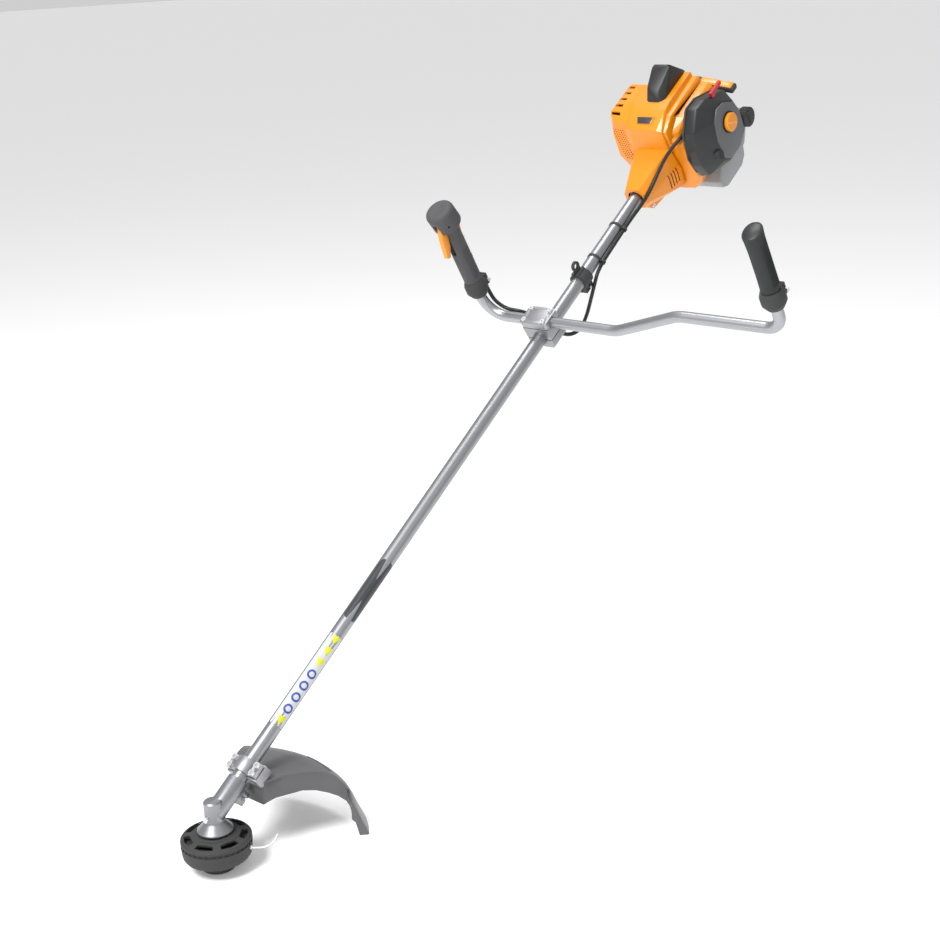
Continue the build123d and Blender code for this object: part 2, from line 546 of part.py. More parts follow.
def make_crank():
    """Crank shaft with clutch shoes and fan wheel, clutch drum, starter pulley and recoil spring."""
    housing = turned_on_shaft([(TUBE_R, 1412), (17, 1412), (17, 1445), (34, 1468), (34, 1494), (31, 1494),
                               (31, 1470), (16, 1450), (TUBE_R, 1450)])
    keep("clutch_housing", FROM_SHAFT, housing)
    drum = turned_on_shaft([(DRIVE_SHAFT_R, 1450), (8, 1450), (28, 1468), (28, 1490), (26, 1490), (26, 1470),
                            (8, 1456), (DRIVE_SHAFT_R, 1456)])
    keep("clutch_drum", FROM_SHAFT, drum)
    shoes = ring(24.5, 12, 1472, 1487)
    shoes -= block((1460, -40, -2), (1500, 40, 2))
    keep("clutch_shoes", FROM_SHAFT, *shoes.solids())
    crank = rod(CRANK_R, 1469, 1664) + rod(12, 1472, 1496)
    crank += rod(23, 1570, 1580) + rod(23, 1604, 1614)
    keep("crank_shaft", FROM_SHAFT, crank)
    fan = ring(62, CRANK_R, 1513, 1517) + ring(16, CRANK_R, 1517, 1542)
    for index in range(12):
        fan += Rotation(index * 30, 0, 0) * block((1516, 30, -1.2), (1542, 61, 1.2))
    keep("flywheel_fan", FROM_SHAFT, fan)
    pulley = ring(28, 7, 1668, 1670) + ring(22, 7, 1670, 1678) + ring(28, 7, 1678, 1680)
    keep("starter_pulley", FROM_SHAFT, pulley)
    keep("recoil_spring", FROM_SHAFT, ring(40, 12, 1682.5, 1688))


def make_block():
    """Crankcase, finned cylinder, piston, spark plug, muffler, coil and base bolts."""
    case = outline_slab([(1562, -44), (1562, 46), (1622, 46), (1622, -44)], -40, 40, 8)
    case -= rod(25, 1566, 1618)
    case -= rod(CRANK_R + 0.05, 1500, 1700)
    case -= post(BORE_R + 0.05, 0, 60, (CYLINDER_AT, 0))
    keep("crankcase", FROM_SHAFT, case)
    barrel = post(21, 46, 92, (CYLINDER_AT, 0))
    for index in range(6):
        low = 50 + index * 7
        barrel += block((CYLINDER_AT - 33, -36, low), (CYLINDER_AT + 33, 36, low + 2.5))
    barrel -= post(BORE_R + 0.05, 40, 84, (CYLINDER_AT, 0))
    barrel -= post(5.0, 80, 100, (CYLINDER_AT, 0))
    keep("cylinder", FROM_SHAFT, barrel)
    piston = post(BORE_R, 44, 66, (CYLINDER_AT, 0)) - post(13, 40, 61, (CYLINDER_AT, 0))
    keep("piston", FROM_SHAFT, piston)
    plug = post(5.0, 86, 94, (CYLINDER_AT, 0)) + post(9.5, 94, 100, (CYLINDER_AT, 0)) + post(6, 100, 122, (CYLINDER_AT, 0))
    keep("spark_plug", FROM_SHAFT, plug)
    muffler = outline_slab([(1556, 4), (1556, 84), (1618, 84), (1618, 4)], 42, 96, 8)
    muffler -= outline_slab([(1560, 8), (1560, 80), (1614, 80), (1614, 8)], 45, 93, 5)
    muffler -= rod(6, 1540, 1562, (80, 20))
    keep("muffler", FROM_SHAFT, muffler)


def make_intake():
    """Carburettor, throttle arm, filter base, element, cover with knob, choke lever and primer bulb."""
    keep("carburettor", FROM_SHAFT, block((1568, -74, 40), (1606, -40, 74)) - cross_rod(9, -90, -30, (1587, 57)))
    arm = Location((1562.5, -56, 66)) * (block((-1.5, -4, -13), (1.0, 4, 13)) + rod(5, -1.5, 1.0))
    keep("throttle_arm", FROM_SHAFT, arm - rod(2.55, 1550, 1570, (-56, 66)))
    keep("cross_screws", FROM_SHAFT, rod(2.5, 1559.5, 1568, (-56, 66)))
    outline = [(1505, -20), (1497, 20), (1510, 70), (1545, 104), (1578, 102), (1640, 74), (1650, 30), (1645, -22),
               (1610, -44), (1550, -44)]
    inner = [(x + (1575 - x) * 0.045, z + (30 - z) * 0.045) for x, z in outline]
    base = outline_slab(outline, -80, -76, 9) - cross_rod(9, -90, -60, (1587, 57))
    keep("filter_base", FROM_SHAFT, base)
    rounded = fillet(side_face(outline).vertices(), 9)
    cover = Pos(0, -80, 0) * extrude(rounded, 28) + Pos(0, -108, 0) * extrude(rounded, 16, taper=32)
    cover -= outline_slab(inner, -119, -70, 8)
    cover -= cross_rod(4.05, -130, -100, (1590, 36))
    cover -= cross_rod(9.2, -130, -100, (1533, 4))
    cover -= block((1590, -108, 76), (1612, -98, 110))
    keep("filter_cover", FROM_SHAFT, cover)
    element = outline_slab([(1540, -18), (1540, 62), (1625, 62), (1625, -18)], -104, -81, 8)
    element -= cross_rod(9, -130, -70, (1590, 36))
    keep("filter_element", FROM_SHAFT, element)
    knob = cross_rod(18, -134, -125, (1590, 36)) + cross_rod(4.0, -126, -100, (1590, 36))
    knob = fillet(knob.edges().filter_by(GeomType.CIRCLE).group_by(Axis.Y)[0], 3)
    keep("filter_knob", FROM_SHAFT, knob)
    lever = block((1596, -106, 82), (1606, -100, 96)) + block((1596, -106, 92), (1634, -100, 99))
    keep("choke_lever", FROM_SHAFT, lever)
    keep("primer_bulb", FROM_SHAFT, cross_rod(8.8, -127, -121, (1533, 4)) + cross_rod(8.8, -121, -112, (1533, 4)))


def make_starter_handle():
    """Starter handle with its stem in the rope guide."""
    grip = Location((1667, -66, 59), (11, 0, 0)) * Box(20, 78, 13)
    grip = fillet(grip.edges(), 4)
    stem = post(2.6, 40, 60, (1667, -38))
    keep("starter_handle", FROM_SHAFT, grip + stem)


def make_tank():
    """Fuel tank with its filler, the filler cap, the fuel pick-up and the tank's foot."""
    main = outline_slab([(1546, -84), (1551, -101), (1568, -110), (1650, -110), (1694, -98), (1704, -62),
                         (1632, -62), (1604, -50), (1574, -50), (1562, -84)], -86, 58, 4)
    riser = outline_slab([(1652, -70), (1652, -6), (1700, -6), (1704, -20), (1704, -70)], -86, -63, 4)
    hollow = outline_slab([(1550, -87), (1554, -99), (1569, -107), (1649, -107), (1691, -96), (1700, -65),
                           (1633, -65), (1605, -53), (1577, -53), (1565, -87)], -83, 55, 3)
    tank = main + riser - hollow
    tank -= cross_rod(14, -90, -66, (1680, -30))
    tank -= cross_rod(10, -90, -60, (1680, -40)) & block((1600, -80, -80), (1700, -66, -30))
    keep("fuel_tank", FROM_SHAFT, tank)
    cap = cross_rod(19.5, -101, -86.4, (1680, -30)) + cross_rod(13.7, -86.6, -72, (1680, -30))
    for index in range(18):
        turn = index * 20
        spot = (1680 + 19.9 * math.cos(math.radians(turn)), -30 + 19.9 * math.sin(math.radians(turn)))
        cap -= cross_rod(1.3, -105, -88, spot)
    cap += block((1676, -104, -42), (1684, -100, -18))
    keep("fuel_cap", FROM_SHAFT, cap)


def main():
    """Build every node and write one STEP file for each."""
    for make in (make_tube, make_gearbox, make_line_head, make_guard, make_guard_bracket, make_harness_eye,
                 make_handlebar, make_left_grip, make_throttle, make_cable, make_engine_covers, make_crank,
                 make_block, make_intake, make_starter_handle, make_tank):
        make()
    os.makedirs("parts", exist_ok=True)
    for name, solids in nodes.items():
        export_step(solids[0] if len(solids) == 1 else Compound(solids), f"parts/{name}.step")
    print(len(nodes), "nodes written")


main()
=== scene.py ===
"""Petrol string trimmer: the visual model built round its packed mechanical frame."""

import logging
import math
from dataclasses import dataclass
from enum import Enum

import bmesh
import bpy
from mathutils import Matrix, Vector


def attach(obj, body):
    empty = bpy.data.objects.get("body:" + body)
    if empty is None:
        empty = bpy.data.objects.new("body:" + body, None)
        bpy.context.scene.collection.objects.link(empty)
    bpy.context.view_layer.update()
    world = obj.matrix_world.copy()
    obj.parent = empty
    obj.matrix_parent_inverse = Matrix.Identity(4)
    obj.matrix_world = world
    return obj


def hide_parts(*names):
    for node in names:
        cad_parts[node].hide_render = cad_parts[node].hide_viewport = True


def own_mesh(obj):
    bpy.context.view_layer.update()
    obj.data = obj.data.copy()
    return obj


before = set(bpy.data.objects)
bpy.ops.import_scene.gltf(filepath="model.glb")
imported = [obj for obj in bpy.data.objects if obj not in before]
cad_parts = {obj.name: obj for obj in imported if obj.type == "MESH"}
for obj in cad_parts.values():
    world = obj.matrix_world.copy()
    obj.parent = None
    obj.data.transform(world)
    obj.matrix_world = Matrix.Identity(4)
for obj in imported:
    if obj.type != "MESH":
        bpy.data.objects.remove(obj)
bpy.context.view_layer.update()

log = logging.getLogger("trimmer")
MM = 0.001
MERGE_M = 2e-6
MERGE_MM = 0.002
LABEL_FILM_MM = 0.09
SMOOTH_UP_TO = 32.0
Point = tuple[float, float, float]
Flat = tuple[float, float]

# Local frames, in millimetres, and where each stands in the part's own frame, in metres.
TUBE_ANGLE = math.radians(35)
BAR_LEAN = math.radians(6)
EYE = Vector((957.0101, 0, 707.9497))
HEAD = Matrix.Scale(MM, 4) @ Matrix.Translation(-EYE)
SHAFT = HEAD @ Matrix.Rotation(-TUBE_ANGLE, 4, "Y")
BAR = SHAFT @ Matrix.Translation((1054.5, 0, 25.5)) @ Matrix.Rotation(BAR_LEAN, 4, "Y")


# ---------------------------------------------------------------- node trees
def linear(colour: str) -> tuple[float, float, float, float]:
    """Turn an sRGB hex colour into linear values."""
    parts = [int(colour[i:i + 2], 16) / 255 for i in (1, 3, 5)]
    return tuple(c / 12.92 if c <= 0.04045 else ((c + 0.055) / 1.055) ** 2.4 for c in parts) + (1.0,)


def add(tree: bpy.types.NodeTree, kind: str, values: dict | None = None, links: dict | None = None) -> bpy.types.Node:
    """Add a node with its settings and the links into it.

    Args:
        tree: The tree that takes the node.
        kind: The node's type name.
        values: Settings of the node and values of its input sockets, by name.
        links: Output sockets by the name or number of the input that each feeds.

    Returns:
        The new node.
    """
    made = tree.nodes.new(kind)
    for key, value in (values or {}).items():
        if isinstance(key, str) and key in made.bl_rna.properties:
            setattr(made, key, value)
        else:
            made.inputs[key].default_value = value
    for key, source in (links or {}).items():
        tree.links.new(source, made.inputs[key])
    return made


class Surface(Enum):
    """How a surface was made, which decides its fine texture."""
    MOULDED = "moulded"
    CAST = "cast"
    DRAWN = "drawn"
    FOAM = "foam"


@dataclass(frozen=True)
class Finish:
    """One material: its colour, gloss and the grain its making leaves.

    Sizes are in millimetres: grain is the spacing of the texture and depth its height, patch the
    spacing of the slow colour drift and drift how strong that is.
    """
    name: str
    colour: str
    roughness: float
    surface: Surface = Surface.MOULDED
    metallic: float = 0.0
    ior: float = 1.5
    coat: float = 0.0
    clear: float = 0.0
    glow_through: float = 0.0
    glow: float = 0.0
    grain: float = 0.7
    depth: float = 0.02
    patch: float = 35.0
    drift: float = 0.12

    def make(self) -> bpy.types.Material:
        """Return the material, built the first time it is asked for."""
        known = bpy.data.materials.get(self.name)
        if known:
            return known
        material = bpy.data.materials.new(self.name)
        material.use_nodes = True
        tree = material.node_tree
        tree.nodes.clear()
        place = add(tree, "ShaderNodeTexCoord").outputs["Object"]
        fine = place
        if self.surface is Surface.DRAWN:
            turned = add(tree, "ShaderNodeMapping", {"Rotation": (0, TUBE_ANGLE, 0)}, {"Vector": place})
            fine = add(tree, "ShaderNodeMapping", {"Scale": (0.02, 1, 1)}, {"Vector": turned.outputs[0]}).outputs[0]
        if self.surface is Surface.FOAM:
            grain = add(tree, "ShaderNodeTexVoronoi", {"Scale": 1 / (self.grain * MM)},
                        {"Vector": fine}).outputs["Distance"]
        else:
            octaves = 4.0 if self.surface is Surface.CAST else 2.0
            grain = add(tree, "ShaderNodeTexNoise", {"Scale": 1 / (self.grain * MM), "Detail": octaves},
                        {"Vector": fine}).outputs[0]
        drift = add(tree, "ShaderNodeTexNoise", {"Scale": 1 / (self.patch * MM), "Detail": 3.0},
                    {"Vector": place}).outputs[0]
        base = linear(self.colour)
        shades = [tuple(min(1.0, c * (1 + sign * self.drift)) for c in base[:3]) + (1.0,) for sign in (-1, 1)]
        colour = add(tree, "ShaderNodeMix", {"data_type": "RGBA", 6: shades[0], 7: shades[1]}, {0: drift})
        rough = add(tree, "ShaderNodeMapRange",
                    {"From Min": 0.3, "From Max": 0.7, "To Min": max(0.02, self.roughness - 0.05),
                                                 "To Max": min(1.0, self.roughness + 0.06)}, {"Value": grain})
        bump = add(tree, "ShaderNodeBump", {"Strength": 1.0, "Distance": self.depth * MM}, {"Height": grain})
        values = {"Metallic": self.metallic, "Coat Weight": self.coat, "Coat Roughness": 0.12,
                  "Transmission Weight": self.clear, "Subsurface Weight": self.glow_through, "Subsurface Scale": 0.004,
                  "Emission Color": (1.0, 1.0, 1.0, 1.0), "Emission Strength": self.glow}
        if not self.metallic:
            values["IOR"] = self.ior
        shader = add(tree, "ShaderNodeBsdfPrincipled", values,
                     {"Base Color": colour.outputs[2], "Roughness": rough.outputs[0], "Normal": bump.outputs[0]})
        add(tree, "ShaderNodeOutputMaterial", links={"Surface": shader.outputs[0]})
        return material


# Anodised aluminium tube: satin, with faint lines along the draw.
TUBE = Finish("anodised_tube", "#9C9DA1", 0.40, Surface.DRAWN, metallic=1.0, grain=0.5, depth=0.004, drift=0.03)
# The bent bar is the same metal, its lines too fine to follow the bends.
BENT_TUBE = Finish("anodised_bar", "#A6A7AB", 0.38, Surface.CAST, metallic=1.0, grain=0.5, depth=0.003, drift=0.03)
# Die-cast aluminium: a slightly grainy, softly shining skin.
CASTING = Finish("die_cast_aluminium", "#96979B", 0.42, Surface.CAST, metallic=1.0, grain=1.2, depth=0.03, drift=0.05)
PALE_CASTING = Finish("blasted_aluminium", "#A2A2A5", 0.48, Surface.CAST, metallic=1.0, grain=0.9, depth=0.03,
                      drift=0.04)
# Zinc-plated steel: bright, bluish, nearly smooth.
ZINC = Finish("zinc_plated_steel", "#D5D6DA", 0.22, Surface.CAST, metallic=1.0, grain=0.5, depth=0.004, drift=0.06)
MACHINED = Finish("machined_steel", "#A9AAAD", 0.28, Surface.CAST, metallic=1.0, grain=0.4, depth=0.005, drift=0.05)
SPRING = Finish("oil_tempered_steel", "#6A6A6C", 0.35, Surface.CAST, metallic=1.0, grain=0.4, depth=0.005)
HOT_STEEL = Finish("heat_tinted_steel", "#8A7C70", 0.42, Surface.CAST, metallic=1.0, grain=0.8, depth=0.01, drift=0.2,
                   patch=22)
# Glass-filled nylon: near black, satin, with a fine spark-eroded grain.
BLACK_NYLON = Finish("black_nylon", "#111112", 0.44, grain=0.55, depth=0.03)
HEAD_NYLON = Finish("head_nylon", "#0B0B0C", 0.38, grain=0.6, depth=0.02)
SHIELD = Finish("shield_polypropylene", "#565658", 0.40, grain=0.6, depth=0.03, drift=0.06)
THROTTLE_NYLON = Finish("throttle_nylon", "#161718", 0.46, grain=0.5, depth=0.03, drift=0.06)
# A lighter copy of the filter cover's dark plastic: painted light on the cover's main face, where light falls on it.
PAINTED_LIGHT_ABS = Finish("grey_abs", "#56575A", 0.40, grain=0.5, depth=0.025, drift=0.05)
DARK_ABS = Finish("dark_grey_abs", "#1B1C1E", 0.42, grain=0.5, depth=0.025, drift=0.05)
# Soft grip rubber: dark, with a faint green cast, and hardly any shine.
RUBBER = Finish("grip_rubber", "#161A1A", 0.62, grain=0.45, depth=0.04, drift=0.08)
CONDUIT = Finish("conduit_polyamide", "#131516", 0.36, grain=0.5, depth=0.01)
# Glossy moulded ABS in a warm orange yellow.
AMBER_ABS = Finish("amber_abs", "#DE8500", 0.34, coat=0.15, grain=1.6, depth=0.006, drift=0.04, patch=80)
AMBER_TRIM = Finish("amber_trim", "#E08A0A", 0.32, coat=0.2, grain=1.2, depth=0.006, drift=0.04)
RED_ABS = Finish("red_abs", "#B80F16", 0.30, coat=0.2, grain=1.0, depth=0.006)
# Blow-moulded polyethylene: cloudy, letting a little light in.
TANK_PE = Finish("natural_polyethylene", "#8E9093", 0.38, clear=0.0, glow_through=0.35, grain=2.5, depth=0.02,
                 drift=0.05)
LINE_NYLON = Finish("trimmer_line", "#75736D", 0.26, clear=0.1, grain=1.0, depth=0.002, drift=0.03)
FOAM = Finish("filter_foam", "#6A5A3A", 0.9, Surface.FOAM, grain=1.4, depth=0.4)
GLAZE = Finish("glazed_ceramic", "#E9E8E2", 0.15, coat=0.3, grain=3.0, depth=0.002)
# Near-black painted shade: the thin pieces that stand for the flange's hole and slot, the plug cover's screw hole and
# the gap round the filter knob; also the throwaway material of the cutters.
PAINTED_HOLE_SHADE = Finish("painted_hole_shade", "#0A0A0A", 0.8, grain=1.0, depth=0.01)
LABEL_PALE = Finish("label_film", "#BFC1C3", 0.32, coat=0.2, grain=2.0, depth=0.002, drift=0.02)
LABEL_BLACK = Finish("label_ink_black", "#1B1B1C", 0.35, coat=0.2, grain=2.0, depth=0.002)
LABEL_GREY = Finish("label_band_grey", "#2E3235", 0.38, coat=0.2, grain=2.0, depth=0.004, drift=0.05)
LABEL_YELLOW = Finish("label_ink_yellow", "#C9CC1E", 0.35, coat=0.2, grain=2.0, depth=0.002)
LABEL_BLUE = Finish("label_ink_blue", "#33459B", 0.35, coat=0.2, grain=2.0, depth=0.002)


# ---------------------------------------------------------------- mesh making
def placed(name: str, data: bpy.types.ID) -> bpy.types.Object:
    """Make an object of a mesh, curve, lamp or camera and put it in the scene.

    Args:
        name: The object's name.
        data: What it shows.

    Returns:
        The object, at the origin.
    """
    made = bpy.data.objects.new(name, data)
    bpy.context.scene.collection.objects.link(made)
    return made


def corners(xs: tuple, ys: tuple, zs: tuple) -> list[Point]:
    """List every combination of some places along X, Y and Z.

    Args:
        xs: Places along X.
        ys: Places along Y.
        zs: Places along Z.

    Returns:
        The points, Z changing fastest.
    """
    return [(x, y, z) for x in xs for y in ys for z in zs]


class Shape:
    """Faces gathered in a local frame, in millimetres, then made one object in the part's frame."""

    def __init__(self) -> None:
        """Start with no faces."""
        self.mesh = bmesh.new()

    def loft(self, rings: list[list[Point]], ends: bool = True) -> "Shape":
        """Join closed rings of equal length with quads, with a face over each end."""
        rows = [[self.mesh.verts.new(p) for p in ring] for ring in rings]
        for low, high in zip(rows, rows[1:]):
            for i in range(len(low)):
                j = (i + 1) % len(low)
                self.mesh.faces.new((low[i], low[j], high[j], high[i]))
        if ends:
            self.mesh.faces.new(rows[0][::-1])
            self.mesh.faces.new(rows[-1])
        return self

    def turned(self, outline: list[Flat], steps: int = 72) -> "Shape":
        """Turn a (radius, height) outline about Z; an outline that starts and ends on the axis closes itself."""
        rings = []
        for radius, height in outline:
            r = max(radius, 1e-4)
            rings.append([(r * math.cos(math.tau * i / steps), r * math.sin(math.tau * i / steps),
                           height) for i in range(steps)])
        closed = outline[0] == outline[-1]
        self.loft(rings, ends=not closed and (outline[0][0] < 0.01 or outline[-1][0] < 0.01))
        return self

    def prism(self, outline: list[Flat], low: float, high: float) -> "Shape":
        """A slab along Y with an (x, z) outline."""
        return self.loft([[(x, low, z) for x, z in outline], [(x, high, z) for x, z in outline]])

    def box(self, low: Point, high: Point) -> "Shape":
        """A box between two corners."""
        return self.prism([(low[0], low[2]), (high[0], low[2]), (high[0], high[2]), (low[0], high[2])], low[1], high[1])

    def hull(self, points: list[Point]) -> "Shape":
        """The tightest convex body round some points, its flat sides kept whole."""
        verts = [self.mesh.verts.new(p) for p in points]
        made = bmesh.ops.convex_hull(self.mesh, input=verts)
        spare = list({v for v in made["geom_interior"] + made["geom_unused"] if isinstance(v, bmesh.types.BMVert)})
        bmesh.ops.delete(self.mesh, geom=spare, context="VERTS")
        bmesh.ops.dissolve_limit(self.mesh, angle_limit=math.radians(1.5), verts=self.mesh.verts, edges=self.mesh.edges)
        return self

    def object(self, name: str, where: Matrix, finish: Finish) -> bpy.types.Object:
        """Make the faces an object whose place is in its mesh.

        Args:
            name: The piece's name.
            where: The local frame's place.
            finish: What it is made of.

        Returns:
            The object, at the origin.
        """
        bmesh.ops.remove_doubles(self.mesh, verts=self.mesh.verts, dist=MERGE_MM)
        bmesh.ops.recalc_face_normals(self.mesh, faces=self.mesh.faces)
        data = bpy.data.meshes.new(name)
        self.mesh.to_mesh(data)
        self.mesh.free()
        data.transform(where)
        data.materials.append(finish.make())
        return placed(name, data)


def settle(piece: bpy.types.Object, sharp: float = SMOOTH_UP_TO) -> bpy.types.Object:
    """Apply a piece's modifiers to its mesh and shade it smooth up to an angle in degrees."""
    if piece.modifiers:
        seen = piece.evaluated_get(bpy.context.evaluated_depsgraph_get())
        data = bpy.data.meshes.new_from_object(seen)
        piece.modifiers.clear()
        piece.data = data
    for polygon in piece.data.polygons:
        polygon.use_smooth = True
    piece.data.set_sharp_from_angle(angle=math.radians(sharp))
    return piece


def round_edges(piece: bpy.types.Object, width: float, angle: float = SMOOTH_UP_TO,
                segments: int = 2) -> bpy.types.Object:
    """Round the edges that are sharper than an angle, by a width in millimetres."""
    bevel = piece.modifiers.new("rounding", "BEVEL")
    bevel.width = width * MM
    bevel.segments = segments
    bevel.limit_method = "ANGLE"
    bevel.angle_limit = math.radians(angle)
    bevel.use_clamp_overlap = True
    bevel.harden_normals = False
    return settle(piece)


def combine(piece: bpy.types.Object, other: bpy.types.Object, way: str) -> bpy.types.Object:
    """Add, cut or keep the overlap of another piece, which is used up."""
    step = piece.modifiers.new("combine", "BOOLEAN")
    step.operation = way
    step.object = other
    step.solver = "MANIFOLD"
    settle(piece)
    bpy.data.objects.remove(other)
    return piece


def copied(node: str, name: str, finish: Finish, flat: float | None = None) -> bpy.types.Object:
    """Copy a CAD node with its loose triangles joined.

    Args:
        node: The CAD node.
        name: The new piece's name.
        finish: What it is made of.
        flat: Triangles that lie within this angle, in degrees, become whole faces.

    Returns:
        The new piece.
    """
    shape = bmesh.new()
    shape.from_mesh(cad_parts[node].data)
    bmesh.ops.remove_doubles(shape, verts=shape.verts, dist=MERGE_M)
    if flat is not None:
        bmesh.ops.dissolve_limit(shape, angle_limit=math.radians(flat), verts=shape.verts, edges=shape.edges)
    data = bpy.data.meshes.new(name)
    shape.to_mesh(data)
    shape.free()
    data.materials.append(finish.make())
    return placed(name, data)


def softened(node: str, width: float, finish: Finish) -> bpy.types.Object:
    """Copy a CAD node and round its edges.

    Args:
        node: The CAD node.
        width: The rounding, in millimetres.
        finish: What it is made of.

    Returns:
        The new piece, which has the node's name with _skin.
    """
    return round_edges(copied(node, f"{node}_skin", finish, flat=2.0), width, angle=38)


def show(piece: bpy.types.Object, body: str, slot: str, *nodes: str) -> bpy.types.Object:
    """Attach a piece to the body it rides on, hide the CAD nodes it stands for and log its face count."""
    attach(piece, body)
    if nodes:
        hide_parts(*nodes)
    log.info("%s rides on %s, %d faces", piece.name, body, len(piece.data.polygons) if piece.type == "MESH" else 0)
    return piece


def dress(finish: Finish, *nodes: str) -> None:
    """Give CAD nodes that stay a material."""
    for node in nodes:
        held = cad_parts[node]
        if not held.material_slots:
            held.data.materials.append(finish.make())
        for place in held.material_slots:
            place.material = finish.make()


# ---------------------------------------------------------------- what repeats
class Repeats:
    """The Geometry Nodes trees for rows, rings, screws and ribbed conduit."""

    @staticmethod
    def _tree(name: str, inputs: dict[str, str]) -> tuple[bpy.types.NodeTree, bpy.types.Node]:
        """Start a tree with named inputs and one geometry output."""
        tree = bpy.data.node_groups.new(name, "GeometryNodeTree")
        for label, kind in {"Geometry": "NodeSocketGeometry", **inputs}.items():
            tree.interface.new_socket(name=label, in_out="INPUT", socket_type=kind)
        tree.interface.new_socket(name="Geometry", in_out="OUTPUT", socket_type="NodeSocketGeometry")
        return tree, add(tree, "NodeGroupInput")

    @staticmethod
    def _end(tree: bpy.types.NodeTree, given: bpy.types.Node, made: bpy.types.NodeSocket) -> None:
        """End a tree in Realize Instances and Set Material."""
        real = add(tree, "GeometryNodeRealizeInstances", links={0: made})
        dressed = add(tree, "GeometryNodeSetMaterial",
                      links={"Geometry": real.outputs[0], "Material": given.outputs["Material"]})
        add(tree, "NodeGroupOutput", links={0: dressed.outputs[0]})

    @classmethod
    def row(cls) -> bpy.types.NodeTree:
        """Copies of a template, each one step further on."""
        known = bpy.data.node_groups.get("row_of_copies")
        if known:
            return known
        tree, given = cls._tree("row_of_copies", {"Count": "NodeSocketInt", "Step": "NodeSocketVector",
                                                  "Material": "NodeSocketMaterial"})
        line = add(tree, "GeometryNodeMeshLine", {"mode": "OFFSET"},
                   {"Count": given.outputs["Count"], "Offset": given.outputs["Step"]})
        copies = add(tree, "GeometryNodeInstanceOnPoints",
                     links={"Points": line.outputs[0], "Instance": given.outputs["Geometry"]})
        cls._end(tree, given, copies.outputs[0])
        return tree

    @classmethod
    def ring(cls) -> bpy.types.NodeTree:
        """Copies of a template, each turned one step further round Z."""
        known = bpy.data.node_groups.get("ring_of_copies")
        if known:
            return known
        tree, given = cls._tree("ring_of_copies", {"Count": "NodeSocketInt", "Turn": "NodeSocketFloat",
                                                   "Material": "NodeSocketMaterial"})
        line = add(tree, "GeometryNodeMeshLine", {"Offset": (0, 0, 0)}, {"Count": given.outputs["Count"]})
        index = add(tree, "GeometryNodeInputIndex")
        angle = add(tree, "ShaderNodeMath", {"operation": "MULTIPLY"}, {0: index.outputs[0], 1: given.outputs["Turn"]})
        turn = add(tree, "ShaderNodeCombineXYZ", links={"Z": angle.outputs[0]})
        copies = add(tree, "GeometryNodeInstanceOnPoints",
                     links={"Points": line.outputs[0], "Instance": given.outputs["Geometry"],
                            "Rotation": turn.outputs[0]})
        cls._end(tree, given, copies.outputs[0])
        return tree

    @classmethod
    def screws(cls) -> bpy.types.NodeTree:
        """A round head with a hexagon socket at each point, facing along the point's own facing attribute."""
        known = bpy.data.node_groups.get("screws_at_points")
        if known:
            return known
        tree, given = cls._tree("screws_at_points", {"Head Radius": "NodeSocketFloat", "Head Height": "NodeSocketFloat",
                                                     "Socket Radius": "NodeSocketFloat",
                                                     "Material": "NodeSocketMaterial"})
        head = add(tree, "GeometryNodeMeshCylinder", {"Vertices": 24}, {"Radius": given.outputs["Head Radius"],
                                                                        "Depth": given.outputs["Head Height"]})
        socket = add(tree, "GeometryNodeMeshCylinder", {"Vertices": 6}, {"Radius": given.outputs["Socket Radius"],
                                                                         "Depth": given.outputs["Head Height"]})
        half = add(tree, "ShaderNodeMath", {"operation": "MULTIPLY", 1: 0.5}, {0: given.outputs["Head Height"]})
        rise = add(tree, "ShaderNodeCombineXYZ", links={"Z": half.outputs[0]})
        sunk = add(tree, "GeometryNodeTransform", links={"Geometry": socket.outputs[0], "Translation": rise.outputs[0]})
        cut = add(tree, "GeometryNodeMeshBoolean", {"operation": "DIFFERENCE"},
                  {0: head.outputs[0], 1: sunk.outputs[0]})
        lifted = add(tree, "GeometryNodeTransform", links={"Geometry": cut.outputs[0], "Translation": rise.outputs[0]})
        facing = add(tree, "GeometryNodeInputNamedAttribute", {"data_type": "FLOAT_VECTOR", "Name": "facing"})
        turn = add(tree, "FunctionNodeAlignRotationToVector", {"axis": "Z"}, {"Vector": facing.outputs[0]})
        points = add(tree, "GeometryNodeMeshToPoints", links={0: given.outputs["Geometry"]})
        copies = add(tree, "GeometryNodeInstanceOnPoints",
                     links={"Points": points.outputs[0], "Instance": lifted.outputs[0], "Rotation": turn.outputs[0]})
        cls._end(tree, given, copies.outputs[0])
        return tree

